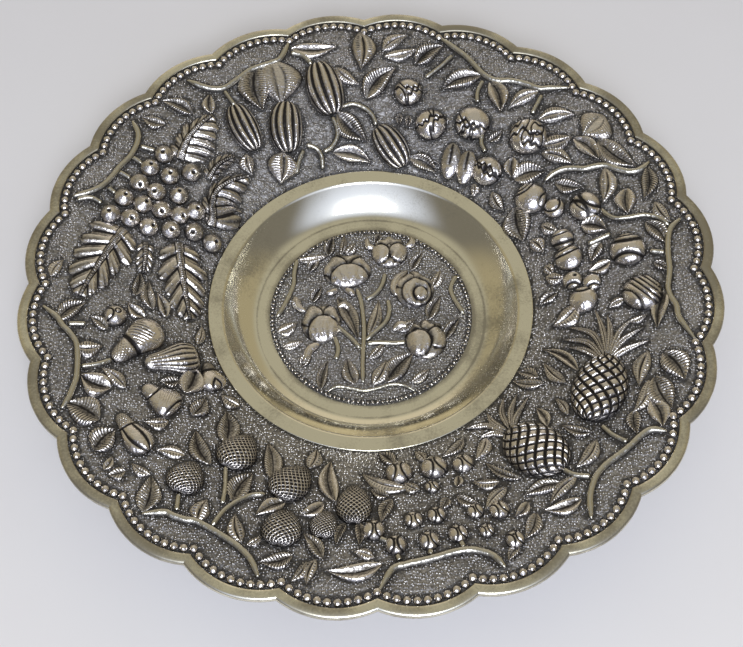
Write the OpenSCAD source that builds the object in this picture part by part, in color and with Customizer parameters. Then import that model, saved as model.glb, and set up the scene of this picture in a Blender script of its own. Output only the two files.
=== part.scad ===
// Offering plate in beaten silver: scalloped rim, bead row, fruit border, plain well, flower medallion.
// The origin is at the centre of the flat base, +Z is up, and the spray's foot points to -Y.

/* [Plate] */
// Diameter over the tips of the rim's lobes
plate_d = 340; // [290:1:420]
// Depth from the rim's top down to the well's floor
plate_depth = 39; // [34:0.5:60]
// Thickness of the beaten sheet
sheet_t = 1.2; // [0.8:0.1:2]

/* [Rim] */
// Number of lobes round the rim
lobe_n = 24; // [18:1:30]
// Depth of the notch between two lobes
notch_depth = 4.5; // [2.5:0.25:7]
// Width of the plain binding on the rim
binding_w = 5; // [3:0.25:8]
// Height of the binding above the sheet
binding_t = 1.6; // [1:0.1:2.5]
// Thickness of the binding's turned-down edge
binding_edge = 1.2; // [0.8:0.1:2]
// Diameter of one bead
bead_d = 3.3; // [2:0.1:3.6]
// Height of one bead
bead_h = 1.4; // [0.8:0.1:1.6]
// Beads along one lobe
beads_per_lobe = 10; // [6:1:11]
// Bare sheet between the binding and the beads
bead_gap = 0.8; // [0.4:0.1:2]

/* [Border] */
// Rise of the border from the lip to the bead row
border_rise = 25; // [16:0.5:28]
// Bulge of the border above a straight cone
border_bulge = 4; // [0:0.25:5.5]

/* [Well] */
// Diameter over the outer edge of the lip, as a share of the plate's
lip_share = 0.48; // [0.44:0.01:0.54]
// Width of the flat lip
lip_w = 7.4; // [4:0.2:10]
// Height of the lip above the border's inner edge
lip_step = 0.5; // [0.2:0.1:1]
// Horizontal run of the well's slope
slope_w = 16; // [10:0.5:22]
// Plain floor between the slope and the medallion
floor_ring_w = 6.6; // [3:0.2:12]
// Thickness of the medallion above the floor
medallion_t = 0.8; // [0.4:0.1:1.5]

/* [Relief] */
// Height of the border's leaves
leaf_h = 1.7; // [0.8:0.1:2.5]
// Height of the vine leaves' ribs
vine_h = 3.2; // [1:0.1:4]
// Height of the wavy branches and stems
branch_h = 1.3; // [0.8:0.1:2]
// Width of the wavy branches
branch_w = 2.3; // [1.5:0.1:3.5]
// Width of the fruit stems
stem_w = 1.7; // [1:0.1:2.5]
// Diameter of one grape
grape_d = 8.2; // [5:0.1:8.6]
// Height of the grapes and cherries as a share of the diameter
berry_rise = 0.42; // [0.25:0.01:0.5]
// Height of the other fruit as a share of the width
fruit_rise = 0.28; // [0.15:0.01:0.35]
// Height of the medallion's leaves and stems
spray_h = 1.1; // [0.6:0.1:2]
// Height of the medallion's blossoms
blossom_h = 3.6; // [2:0.1:5]
// Dots round the medallion
dot_n = 132; // [80:4:160]
// Diameter of one dot
dot_d = 1.5; // [0.8:0.1:1.8]

/* [Hidden] */
$fn = 96;
// Slack under each raised piece, so that it rests on the sheet
seat_gap = 0.04;
// Lobes on each side of a vine leaf, how far they sweep to the tip, and the steps along one lobe
vine_lobes = 6;
vine_sweep = 0.2;
vine_steps = 5;
// Facets of the border's bulge and of the well's slope
border_steps = 14;
slope_steps = 10;
// Steepness of the well's slope: 1 is a straight cone
slope_power = 1.7;
// Height of a dot as a share of its diameter
dot_rise = 0.45;
// Distance from the medallion's edge to the dots' centres
dot_inset = 1.3;

// Lobes: arcs of one radius, struck from centres on one circle
tip_r = plate_d / 2;
notch_r = tip_r - notch_depth;
half_lobe = 180 / lobe_n;
lobe_r = (tip_r * tip_r + notch_r * notch_r - 2 * tip_r * notch_r * cos(half_lobe))
  / (2 * (tip_r - notch_r * cos(half_lobe)));
lobe_c = tip_r - lobe_r;
function lobe_notch(inset) =
  lobe_c * cos(half_lobe) + sqrt(pow(lobe_r - inset, 2) - pow(lobe_c * sin(half_lobe), 2));

// Heights, from the base up
z_floor = sheet_t;
z_rim = z_floor + plate_depth;
z_sheet = z_rim - binding_t;
z_border = z_sheet - border_rise;
z_lip = z_border + lip_step;
z_medallion = z_floor + medallion_t;

// Radii, from the rim in
bead_inset = binding_w + bead_gap + bead_d / 2;
band_r = lobe_notch(bead_inset);
lip_r = lip_share * tip_r;
slope_r = lip_r - lip_w;
floor_r = slope_r - slope_w;
medallion_r = floor_r - floor_ring_w;
band_w = band_r - lip_r;

// Border surface at a share of the band, 0 at the lip and 1 at the bead row's notches
function share(r) = min(max((r - lip_r) / band_w, 0), 1);
function border_z(r) = z_border + border_rise * share(r) + 4 * border_bulge * share(r) * (1 - share(r));
function border_slope(r) =
  r > band_r ? 0 : (border_rise + 4 * border_bulge * (1 - 2 * share(r))) / band_w;
function band_at(percent) = lip_r + band_w * percent / 100;

// Point on the border at an angle and a percentage of the band, h above the sheet along its normal
function on_border(angle, percent, h) =
  let (r = band_at(percent), s = border_slope(r), n = sqrt(1 + s * s))
  let (out = r - h * s / n)
  [out * cos(angle), out * sin(angle), border_z(r) + h / n];

// Point on the medallion at percentages of its radius
function on_medallion(x, y, h) = [x * medallion_r / 100, y * medallion_r / 100, z_medallion + h];

// Smooth curve through a list of points, at t from 0 to 1
function blend(a, b, c, d, f) =
  b + 0.5 * f * (c - a + f * (2 * a - 5 * b + 4 * c - d + f * (3 * (b - c) + d - a)));
function along(path, t) =
  let (n = len(path) - 1, i = min(floor(t * n), n - 1), f = t * n - i)
  blend(path[max(i - 1, 0)], path[i], path[i + 1], path[min(i + 2, n)], f);

// Millimetres per unit of a border path: percentages of the band, and degrees at a radius
border_unit = function (p)
  let (r = band_at(p[1]))
  [r * PI / 180, band_w / 100 * sqrt(1 + pow(border_slope(r), 2))];
medallion_unit = function (p) [medallion_r / 100, medallion_r / 100];

// Point beside a path: t along it, v millimetres to its side, h above the ground
function beside(path, t, v, unit) =
  let (p = along(path, t), q = along(path, min(t + 0.01, 1)) - along(path, max(t - 0.01, 0)))
  let (k = unit(p), d = [q[0] * k[0], q[1] * k[1]], n = v / norm(d))
  [p[0] - d[1] * n / k[0], p[1] + d[0] * n / k[1]];
border_point = function (path, t, v, h)
  let (p = beside(path, t, -v, border_unit))
  on_border(p[0], p[1], h);
medallion_point = function (path, t, v, h)
  let (p = beside(path, t, v, medallion_unit))
  on_medallion(p[0], p[1], h);
// A wide flat sole sits a little higher, clear of the border's bulge
function border_seat(w) = seat_gap + border_bulge * pow(w / band_w, 2);

// Outline of a motif along its length, 0 at the ends and 1 at the widest
leaf_outline = function (t) pow(sin(180 * pow(t, 0.85)), 0.8);
// A vine leaf's lobe climbs slowly and drops at its front, from 0 to 1
vine_lobe = function (t)
  let (f = vine_lobes * t - floor(vine_lobes * t + 0.001))
  pow(max(f, 0), 0.7);
vine_outline = function (t) pow(sin(180 * sqrt(t)), 0.75) * (0.65 + 0.35 * vine_lobe(t));
stem_outline = function (t) min(1, 0.35 + 8 * t, 0.35 + 8 * (1 - t));
barrel_outline = function (t) pow(sin(180 * pow(t, 0.95)), 0.4);
egg_outline = function (t) pow(sin(180 * pow(t, 0.9)), 0.6);
pear_outline = function (t) sqrt(max(0, 1 - pow(2 * t - 1, 2))) * (0.42 + 0.58 * pow(sin(90 * t), 2));
tulip_outline = function (t) pow(sin(180 * pow(t, 0.62) * 0.97), 0.6);

// Section of a motif across its width, v from -1 to 1
leaf_section = function (t, v) (1 - v * v) * (0.55 + 0.9 * abs(v));
// A vine leaf has a rib along its path, and lobes that fall away from it to the edges
vine_section = function (t, v)
  pow(sin(180 * t), 0.4) * (abs(v) < 0.1 ? 1 : (1 - pow(v, 4)) * (0.3 + 0.55 * vine_lobe(t)));
round_section = function (t, v) sqrt(max(0, 1 - v * v)) * egg_outline(t);
pear_section = function (t, v) sqrt(max(0, 1 - v * v)) * pear_outline(t);
ribbed_section = function (t, v)
  sqrt(max(0, 1 - v * v)) * barrel_outline(t) * (0.82 + 0.18 * cos(5 * 180 * (v + 1)));
tulip_section = function (t, v)
  sqrt(max(0, 1 - v * v)) * (0.8 + 0.2 * cos(3 * 180 * (v + 1))) * tulip_outline(t);
ridge_section = function (t, v) 1 - pow(v, 4);

// One raised motif: a grid of steps along and across, closed by a sole that lies on the ground.
// Its rows may sweep forwards to the tip, and its path may lean to one side of the middle.
module motif(path, w, h, seat, outline, section, point, steps, across, sweep = 0, lean = 0) {
  rows = [for (i = [1:steps - 1]) for (j = [0:across])
    let (t = i / steps, v = 2 * j / across - 1)
    point(path, t + 4 * sweep * abs(v) * t * (1 - t), (v + lean * abs(v)) * w / 2 * outline(t),
      seat + h * section(t, v))];
  ends = [point(path, 0, 0, seat), point(path, 1, 0, seat)];
  wide = across + 1;
  head = (steps - 1) * wide;
  last = (steps - 2) * wide;
  skin = [for (i = [0:steps - 3]) for (j = [0:across - 1])
    let (a = i * wide + j, b = a + wide)
    each [[a, a + 1, b + 1], [a, b + 1, b]]];
  sole = [for (i = [0:steps - 3])
    let (a = i * wide, b = a + wide)
    each [[a, b, b + across], [a, b + across, a + across]]];
  start = [for (j = [0:across - 1]) [head, j + 1, j]];
  finish = [for (j = [0:across - 1]) [head + 1, last + j, last + j + 1]];
  closing = [[head, 0, across], [head + 1, last + across, last]];
  polyhedron(concat(rows, ends), concat(skin, sole, start, finish, closing));
}

// Leaves are listed as [angle, percent] at the stalk and at the tip, then width in percent of the band
module border_leaf(m) {
  w = m[4] * band_w / 100;
  motif([[m[0], m[1]], [m[2], m[3]]], w, leaf_h, border_seat(w), leaf_outline, leaf_section,
    border_point, 4, 4);
}
module border_leaves(list) {
  for (m = list) border_leaf(m);
}
module border_ridge(path, w) {
  motif(path, w, branch_h, border_seat(w), stem_outline, ridge_section,
    border_point, 2 * len(path), 3);
}
module long_fruit(m, outline, section, steps, across) {
  w = m[4] * band_w / 100;
  motif([[m[0], m[1]], [m[2], m[3]]], w, w * fruit_rise, border_seat(w), outline, section,
    border_point, steps, across);
}

// Dome on a flat sole, d across and h high
module dome(d, h) {
  ball_r = (d * d / 4 + h * h) / (2 * h);
  intersection() {
    translate([0, 0, h - ball_r]) sphere(ball_r);
    translate([-d, -d, 0]) cube([2 * d, 2 * d, 2 * h]);
  }
}
// Round fruit on the border: the sheet curves up round the axis, so a wide sole sits a little higher
module round_fruit(angle, percent, d, rise) {
  r = band_at(percent);
  tilt = atan(border_slope(r));
  lift = seat_gap + d * d / 8 * sin(tilt) / r;
  translate(on_border(angle, percent, lift)) rotate([0, 0, angle]) rotate([0, -tilt, 0])
    dome(d, d * rise);
}
// Round fruits are listed as [angle, percent, diameter in percent of the band]
module round_fruits(list, rise) {
  for (m = list) round_fruit(m[0], m[1], m[2] * band_w / 100, rise);
}
module spray_stem(path, w) {
  motif(path, w, spray_h, seat_gap, stem_outline, ridge_section,
    medallion_point, 2 * len(path), 3);
}

// Scalloped outline at a distance inside the rim's edge
module lobed(inset) {
  circle(lobe_c);
  for (i = [0:lobe_n - 1]) rotate((2 * i + 1) * half_lobe) translate([lobe_c, 0]) circle(lobe_r - inset);
}

// Wavy branches that hang from the bead row, as [angle, percent of the band]
branches = [
  [[160.2, 96], [158.8, 92], [156.6, 87], [154, 85], [150.9, 84.5], [147.7, 83.5], [144.5, 86],
   [142.4, 91], [141.4, 96]],
  [[126.6, 96], [125.6, 91], [123.8, 84.5], [121.5, 81.5], [118, 83.5], [114.7, 86.3], [110, 86.3],
   [107.7, 88.5], [106.4, 93]],
  [[74, 97], [71.8, 94.5], [68.6, 89.5], [66, 84.5], [63.8, 80.5], [61.5, 78.8], [59.5, 80],
   [57.3, 83.5], [54.3, 86], [51.5, 87.5], [49.8, 91.5], [48, 96]],
  [[23.8, 97], [23.5, 92], [24.2, 85.5], [26, 80], [28.2, 75], [29.4, 69], [30.3, 63], [31.8, 58.5],
   [33.4, 53], [34.3, 46], [34.2, 38.5]],
  [[10, 96], [9.2, 92.5], [7, 88.5], [3.8, 86], [0.5, 85], [-2, 83.5], [-4, 82.5], [-5.8, 84],
   [-7.8, 87.2], [-10.5, 89.3], [-13.2, 94]],
  [[-33.3, 96.5], [-34, 92.5], [-36, 89], [-39, 87], [-41.5, 85], [-44.4, 83], [-47.2, 83.7],
   [-49.8, 87.6], [-51.6, 92.5], [-52.8, 97]],
  [[-69.8, 97], [-70.3, 93], [-71.5, 88], [-73.5, 83.7], [-76.2, 82], [-79.4, 82.6], [-82, 83.3],
   [-85, 84.2], [-87.5, 87], [-88.8, 92]],
  [[-109.3, 97], [-110.2, 94.5], [-111.5, 91], [-114, 87.4], [-117, 85.5], [-120, 84.8],
   [-122.6, 85.2], [-124.2, 87.6], [-126.2, 89.7], [-128, 91.3], [-129.6, 96]],
  [[-155.2, 97.5], [-156, 95], [-157.5, 91], [-159.4, 86.7], [-162, 83.9], [-164.5, 82.2],
   [-167, 81.7], [-169.1, 84.2], [-171, 88.5], [-173, 92], [-174.6, 96]]
];
// Stems that run from the branches to the fruit
stems = [
  [[156.4, 82.5], [156.9, 76.8]],
  [[152, 82.5], [152.1, 74]],
  [[147.6, 81.5], [147.7, 74.4]],
  [[144.6, 83], [143.4, 73.4]],
  [[161.4, 97], [160.4, 92.5], [159.9, 88], [160.3, 81]],
  [[122.2, 79.5], [122, 66]],
  [[105.6, 90], [103.4, 86], [101.8, 77]],
  [[96.5, 43], [93.5, 44.5], [90.5, 41.5], [88.2, 36], [87, 29]],
  [[99.6, 38], [98.8, 30], [99.2, 23], [101.5, 17.5], [104.6, 15.5]],
  [[109.2, 23], [106.4, 19], [105.4, 12.5], [106.2, 5]],
  [[110.4, 20], [113, 14.5], [115.6, 7.5]],
  [[71.2, 87.5], [73, 77], [75.8, 66]],
  [[62.9, 75.5], [62.9, 66], [61.8, 58.5]],
  [[50, 84.5], [49, 68.5]],
  [[57, 41.5], [55.7, 34.5], [53.2, 30.5]],
  [[9.8, 92], [12, 87.5], [13.6, 80], [14.4, 70], [15.3, 62.5], [17.3, 58.3], [19.3, 57]],
  [[4.2, 84], [5.2, 75.5]],
  [[12, 56], [11.6, 40]],
  [[-38.3, 85], [-38.4, 75], [-37.6, 66]],
  [[-47.8, 81.5], [-49.6, 74], [-50.2, 66.5]],
  [[-74.6, 81], [-74.7, 77.2]],
  [[-80.6, 80.5], [-80.4, 77.8]],
  [[-86, 81.5], [-86.3, 78.2]],
  [[-88, 68.5], [-89.2, 66.6]],
  [[-119.7, 83], [-119.7, 76.5], [-119.5, 70], [-118.6, 62], [-116.8, 54], [-114.2, 49.2]],
  [[-120.6, 68], [-122.3, 58], [-124.2, 50.5], [-125.6, 45.2]],
  [[-126.4, 86.5], [-128.4, 77.2]],
  [[-161.8, 82], [-161.6, 72], [-162, 63]],
  [[-171.4, 85.5], [-171.2, 74.5]]
];
// Grapes of the bunch
grape_places = [
  [161.8, 73], [157, 70.5], [152, 67.5], [147.5, 68], [142.8, 67], [161, 60.5], [156.4, 57.8],
  [151.7, 55], [146.3, 54.5],
  [161.2, 47.5], [155.4, 45.8], [149.3, 42], [159.2, 34.6], [154, 34.4], [150.4, 27.8], [156.2, 21.5],
  [156.4, 8.7], [142, 46]
];
// Vine leaves as the path of their rib, the width, and how far the outline leans to one side of it
vine_list = [
  [[[141.2, 57.5], [138.6, 61], [135.6, 64.4], [132, 66.6], [127.6, 68]], 30, -0.4],
  [[[151.4, 15], [148.4, 17.4], [145.4, 22.5], [141.4, 26], [136, 25], [130.2, 20.6]], 28, -0.55],
  [[[164.2, 61], [169, 64.5], [175, 69.8], [182.4, 78.4]], 37, -0.15],
  [[[161.8, 26.5], [166.6, 22.6], [173, 17.8], [180, 14], [186.6, 11.4]], 33, 0.06],
  [[[139.8, 35.4], [135, 38], [129.8, 36]], 12, 0],
  [[[165.6, 45.4], [170.5, 42.6], [174.4, 42]], 12, 0]
];
gourd_list = [
  [122.4, 65.5, 123.6, 33.5, 18],
  [110.6, 53.5, 115, 23, 21],
  [100.8, 76, 99.3, 40, 22.5],
  [86.6, 27, 77.2, 5, 19]
];
gourd_leaf_list = [
  [137.4, 84, 139, 96.5, 7], [131.4, 79, 133.6, 96, 8], [127.4, 71, 125.4, 81, 7],
  [126.9, 32, 128.8, 21, 8],
  [117.2, 22, 121.8, 8, 13], [113.9, 84, 116.2, 58, 13], [109.9, 84.5, 111.6, 57.5, 18],
  [104.2, 93, 96.8, 89.5, 9],
  [90.8, 97, 91, 72, 11], [96.2, 71, 92, 59.5, 7], [89.2, 50.5, 83.6, 69, 11],
  [97.2, 37.5, 91, 21.5, 11],
  [100, 13, 90, 6, 9], [85, 80.5, 79.2, 87.5, 7], [85.6, 86, 81.6, 97, 8]
];
// Round star fruit and blossoms
pomegranate_list = [[46.2, 54, 24], [60.6, 44, 22], [71.4, 34.5, 20], [49.6, 20.5, 19], [79.2, 54, 18]];
bell_list = [[63, 26.5, 60.4, 5, 12], [57.6, 26, 54.6, 6, 12]];
pomegranate_leaf_list = [
  [78, 77.5, 74.2, 92, 10], [64.6, 76.5, 70.4, 62, 10], [60.8, 75, 56.2, 61, 10],
  [51.4, 83.5, 54, 66, 8],
  [46.4, 69.5, 42.2, 84, 9], [54, 39, 52.8, 47.5, 5], [74.4, 10, 65.6, 6, 8], [45.4, 36, 42.2, 27.5, 8],
  [50.6, 9, 48.6, 3, 5], [43.2, 11, 36.8, 8, 7], [37.5, 97, 37, 80, 15], [33, 84, 25.4, 90.5, 11],
  [37, 72.5, 30.8, 74, 9],
  [41.5, 57, 38.6, 71, 10], [39.8, 51.5, 33.8, 58.5, 9], [80.4, 37.5, 80.2, 31, 4],
  [78.2, 37, 78, 30.5, 4]
];
// Figs and other round fruit on the right
split_list = [
  [21.8, 49, 19], [33, 24.8, 20], [26, 32.5, 13], [6.8, 62.5, 21], [16.2, 27, 14], [9.8, 26.5, 17],
  [2.4, 25.5, 12], [0.4, 37, 11], [-4.5, 66.8, 23], [-4.4, 31, 17]
];
fig_leaf_list = [
  [40.6, 28, 36.6, 42, 11], [31.4, 44, 27, 54, 8], [17.2, 42.5, 13.8, 53, 10],
  [23.4, 21, 19.5, 26.5, 7],
  [20.6, 10, 15.6, 13, 8], [33, 13, 23.6, 6.5, 12], [22.8, 96, 17.8, 85.5, 8],
  [20.4, 77, 15.8, 71.5, 10],
  [27, 72.5, 21, 61, 9], [15.2, 90, 11, 93.5, 7], [11.4, 79.5, 6.6, 86, 9], [10.4, 47, 6.8, 40, 7],
  [5, 49, 3.9, 37.5, 7],
  [6, 11, 4.2, 20.5, 7], [10, 11.5, 6.6, 14, 6], [-0.6, 14, -3.2, 5, 6], [2.2, 77, 0.4, 82.5, 5],
  [-5, 81, -12, 77, 8],
  [-6.4, 26, -11.8, 14.5, 10], [-5.8, 55, -7.6, 47.5, 5]
];
pineapple_list = [[-37.4, 56.5, -21.2, 50, 30], [-50.2, 66, -50.6, 25, 31]];
// Crown blades as paths from the fruit to the tip
crown_w = 5;
crown_list = [
  [[-21.6, 52], [-18.6, 60], [-15.8, 73]], [[-21, 51.5], [-16.4, 57], [-12.8, 68.5]], [[-20.6, 51],
   [-14.6, 54], [-10.8, 61]],
  [[-20.4, 50], [-14, 48.5], [-9.6, 45.5]], [[-20.4, 49], [-14, 44], [-7.6, 37.5]], [[-20.8, 48],
   [-15, 38], [-13, 22.5]],
  [[-21.4, 47], [-17.6, 36], [-17.2, 20]], [[-22, 46.5], [-20, 36], [-19.6, 25]],
  [[-49.2, 24.5], [-45.6, 19.5], [-38.2, 16.5]], [[-49.4, 23], [-45, 14], [-38.6, 9]], [[-50, 22],
   [-46.8, 10], [-41.2, 3.2]],
  [[-50.8, 22], [-51.2, 11], [-49.6, 3]], [[-51.6, 22.5], [-53.4, 10], [-58.8, 3]], [[-52.4, 24],
   [-54.2, 17.5], [-57.6, 15.2]]
];
pineapple_leaf_list = [
  [-18.6, 84, -22.2, 97, 13], [-24.2, 83, -28.2, 96, 13], [-29, 86, -32.2, 96, 11],
  [-19.2, 73.5, -25.8, 74.5, 10],
  [-25.4, 78.5, -31.6, 78, 9], [-32.2, 79, -35.6, 86, 9], [-40.2, 62, -41.6, 48, 7],
  [-25.6, 33.5, -21.4, 13, 7],
  [-30, 30.5, -26, 15.5, 8], [-38.4, 43.5, -36.2, 33, 6], [-32.4, 18, -34.2, 3, 7],
  [-30.8, 13, -30.6, 2, 8], [-52.8, 87, -58, 81, 9],
  [-50.2, 76, -56.4, 79, 8], [-41.6, 69, -47.6, 71, 9], [-53.2, 72, -59, 66.5, 9],
  [-58.2, 53, -61.2, 35.5, 6],
  [-43.4, 38, -41, 27, 7], [-57.2, 18.5, -62.4, 27, 9], [-11.4, 60, -9.8, 69, 5]
];
cherry_list = [
  [-66, 87.5, 10], [-69.6, 75.5, 8], [-74.7, 71.6, 10.5], [-80.2, 71.8, 11], [-65.5, 66.4, 11],
  [-69.8, 61, 9], [-77.4, 56, 10],
  [-82.2, 56.2, 10], [-66.4, 26.6, 12], [-73.8, 22, 15], [-76.2, 35.5, 8], [-86.4, 71.7, 11.5],
  [-90.4, 61, 12], [-83.3, 20, 15]
];
cherry_leaf_list = [
  [-60.6, 80, -64, 88.5, 8], [-66.2, 92.5, -68.4, 97, 5], [-60.4, 71, -63.4, 74.5, 6],
  [-62, 56, -67.2, 62, 7],
  [-62.4, 49, -66.6, 42.5, 7], [-71.4, 48, -68.6, 57, 6], [-74.2, 46.5, -76, 52, 6],
  [-70.6, 40, -69.4, 34, 5], [-79.6, 35, -82.2, 29, 7],
  [-75.4, 13.5, -77, 6, 6], [-62.6, 10, -69.4, 15, 6], [-86.4, 41, -88.6, 54, 7],
  [-90, 83.5, -97.4, 88, 9], [-90.8, 78.6, -93.8, 75.8, 6],
  [-83, 31.5, -92.4, 20.5, 9], [-84.6, 11, -88, 3, 8], [-87.2, 36.5, -90.6, 32, 6]
];
strawberry_list = [
  [-94.5, 56, -95, 30, 19], [-107.6, 79, -108.4, 56, 21], [-112.4, 48, -108.4, 23, 22],
  [-128.8, 76.5, -130.8, 56, 20], [-125.4, 45, -126.8, 19, 22], [-100.4, 68, -100.2, 50.5, 15]
];
strawberry_leaf_list = [
  [-93.6, 57, -93.2, 69.5, 6], [-96.2, 58, -97.2, 70.5, 5], [-102, 45.5, -105.4, 55, 8],
  [-100.5, 84, -101, 97, 7],
  [-102, 86, -103.4, 97, 6], [-99.8, 80, -103.4, 69, 8], [-105, 83.5, -109, 91, 9],
  [-110, 51, -113.4, 63.5, 9], [-114, 83, -117, 71, 9],
  [-112.4, 84, -111, 77, 5], [-119.3, 61, -119.5, 42.5, 11], [-115.6, 36, -121.4, 17.5, 10],
  [-99.4, 39, -102.4, 15, 15],
  [-108, 19.5, -108.4, 6.5, 9], [-122.4, 83.5, -123.4, 71.5, 10], [-131, 97, -134.2, 82, 11],
  [-138.6, 89.5, -139.6, 97, 7],
  [-141, 97, -142, 90, 5], [-135.4, 80, -138.6, 82.6, 6], [-134.4, 57, -138, 65.5, 8],
  [-129.4, 49, -136.6, 40.5, 10], [-131, 30.5, -137.4, 17, 11]
];
pear_list = [
  [-149, 72, -139.4, 70.5, 18],
  [-153.6, 50, -145, 40, 21],
  [-156.6, 8, -146.6, 10.5, 17],
  [-162, 61, -169.6, 31.5, 24],
  [-159.6, 44, -159.4, 12, 24]
];
pip_list = [[-173, 56.8, 13]];
pear_leaf_list = [
  [-145, 94, -146.4, 80, 11], [-150.4, 85, -155, 96, 12], [-156, 70.5, -159.6, 82, 11],
  [-155.2, 62, -160, 69.5, 7], [-143.2, 50, -145.2, 60, 7],
  [-142.2, 33, -144.6, 22, 9], [-153, 30, -154, 39, 6], [-149.4, 28, -155, 17, 11],
  [-138.6, 6, -143.6, 10, 8],
  [-166, 81, -165.6, 68, 9], [-172.8, 90, -175.8, 76, 9], [-170, 63, -172.6, 71, 6],
  [-173.4, 40, -176.4, 48, 7], [-165, 9, -171, 5, 5],
  [-182, 97, -185, 92, 6], [-179.6, 45, -185, 44, 6], [-176.4, 34, -183, 37, 7],
  [-174.2, 26.5, -180, 31, 6]
];
// Medallion spray, in percent of the medallion's radius from its centre
spray_stem_w = 2.2;
spray_stems = [
  [[-9, -77], [-9, -58], [-8, -38], [-7, -18], [-8, 2], [-10, 17], [-14, 30]],
  [[-5.5, -30], [6, -19], [15, -9], [18.6, 4], [17, 16]],
  [[-4.5, 16], [5, 22], [12, 33], [15.5, 47]],
  [[-11, -39], [-20, -27], [-32, -15], [-38, -11]],
  [[-4.5, -34], [6, -33], [22, -34], [34, -33]],
  [[-36, -25], [-32.5, -39], [-35, -51]],
  [[-73, 66], [-76, 49], [-77, 34], [-85, 13], [-93, -2]],
  [[87, 42], [80.5, 28], [83, 15], [92, -3]],
  [[-43, -85], [-33, -80], [-19, -82.5], [-8, -85], [4, -83], [18, -79], [30, -80.5], [41, -87]]
];
blossom_list = [
  [[-20, 34], [-23, 68], 46], [[17, 55], [19, 90], 40], [[44, 8], [45, 45], 40], [[54, -49],
   [51, -13], 40], [[-53, -30], [-50, 8], 42]
];
spray_leaf_list = [
  [[-31, 15], [-15, -24], 12], [[-2, -21], [7, 12], 10], [[-17, -75], [-23, -53], 12], [[2, -76],
   [13, -55], 12], [[16, -73], [38, -48], 16],
  [[-1, -49], [11, -35], 8], [[-60, 52], [-51, 66], 8], [[-70, 65], [-44, 69], 7], [[-57, 16],
   [-49, 31], 8], [[-75, 20], [-68, 5], 8],
  [[43, 51], [53, 68], 8], [[63, 30], [70, 47], 9], [[58, -6], [69, 16], 10], [[27, -19],
   [42, -9], 9], [[73, -29], [86, -10], 8],
  [[-90, -18], [-74, -10], 11], [[-67, -56], [-59, -43], 8], [[-23, 71], [-15, 82], 8], [[-41, 71],
   [-37, 89], 9], [[-29, 71], [-26, 91], 6],
  [[10, 93], [6, 83], 6], [[39, -76], [54, -64], 8], [[-49, -80], [-43, -55], 8], [[-85, -35],
   [-68, -30], 7]
];

module rim_binding() {
  color("#9b927a") {
    translate([0, 0, z_sheet]) linear_extrude(binding_t) difference() {
      lobed(0);
      lobed(binding_w);
    }
    translate([0, 0, z_sheet - sheet_t]) linear_extrude(sheet_t) difference() {
      lobed(0);
      lobed(binding_edge);
    }
  }
}

// Beads follow each lobe's arc, with one in every notch
module bead_border() {
  arc_r = lobe_r - bead_inset;
  swing = asin(band_r * sin(half_lobe) / arc_r);
  color("#a8a6a0")
    for (i = [0:lobe_n - 1]) for (k = [0:beads_per_lobe - 1])
      rotate((2 * i + 1) * half_lobe) translate([lobe_c, 0, z_sheet])
        rotate(swing * (2 * k / beads_per_lobe - 1)) translate([arc_r, 0, 0]) dome(bead_d, bead_h);
}

module border_sheet() {
  curve = [for (i = [0:border_steps]) let (r = lip_r + band_w * i / border_steps) [r, border_z(r)]];
  top = concat(curve, [[tip_r, z_sheet]]);
  under = [for (i = [len(top) - 1:-1:0]) [top[i][0], top[i][1] - sheet_t]];
  color("#6f6d69") intersection() {
    rotate_extrude() polygon(concat(top, under));
    linear_extrude(z_rim) lobed(binding_edge);
  }
}

// Lip, slope and floor turn in one sheet, whose underside is parallel to its top
module well_dish() {
  rise = z_lip - z_floor;
  top = [for (i = [0:slope_steps]) let (t = i / slope_steps)
    [floor_r + slope_w * t, z_floor + rise * pow(t, slope_power)]];
  under = [for (i = [slope_steps:-1:0])
    let (t = i / slope_steps, tilt = atan(rise / slope_w * slope_power * pow(t, slope_power - 1)))
    [top[i][0] + sheet_t * sin(tilt), top[i][1] - sheet_t * cos(tilt)]];
  brim = [[lip_r, z_lip], [lip_r, z_lip - lip_step - sheet_t]];
  color("#a59c84") rotate_extrude() polygon(concat([[0, z_floor]], top, brim, under, [[0, 0]]));
}

module medallion_disc() {
  color("#77756f") translate([0, 0, z_floor]) cylinder(h = medallion_t, r = medallion_r);
}

module medallion_dots() {
  color("#a8a6a0") for (i = [0:dot_n - 1])
    rotate(360 * i / dot_n) translate([medallion_r - dot_inset, 0, z_medallion])
      dome(dot_d, dot_d * dot_rise);
}

module medallion_stems() {
  color("#8d8673") for (path = spray_stems) spray_stem(path, spray_stem_w);
}

module medallion_blossoms() {
  color("#b5b1a8") for (m = blossom_list)
    motif([m[0], m[1]], m[2] * medallion_r / 100, blossom_h, seat_gap, tulip_outline,
      tulip_section, medallion_point, 8, 9);
}

module medallion_leaves() {
  color("#9d9a92") for (m = spray_leaf_list)
    motif([m[0], m[1]], m[2] * medallion_r / 100, spray_h, seat_gap, leaf_outline,
      leaf_section, medallion_point, 4, 4);
}

module branch_ridges() {
  color("#8d8673") for (path = branches) border_ridge(path, branch_w);
}

module fruit_stems() {
  color("#8d8673") for (path = stems) border_ridge(path, stem_w);
}

module grapes() {
  color("#b5b1a8") for (m = grape_places) round_fruit(m[0], m[1], grape_d, berry_rise);
}

module vine_leaves() {
  color("#9d9a92") for (m = vine_list) {
    w = m[1] * band_w / 100;
    motif(m[0], w, vine_h * min(max(w / 18, 0.65), 1), border_seat(w), vine_outline, vine_section,
      border_point, vine_lobes * vine_steps, 12, vine_sweep, m[2]);
  }
}

module gourds() {
  color("#b5b1a8") for (m = gourd_list) long_fruit(m, barrel_outline, ribbed_section, 8, 10);
}

module gourd_leaves() {
  color("#9d9a92") border_leaves(gourd_leaf_list);
}

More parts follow.
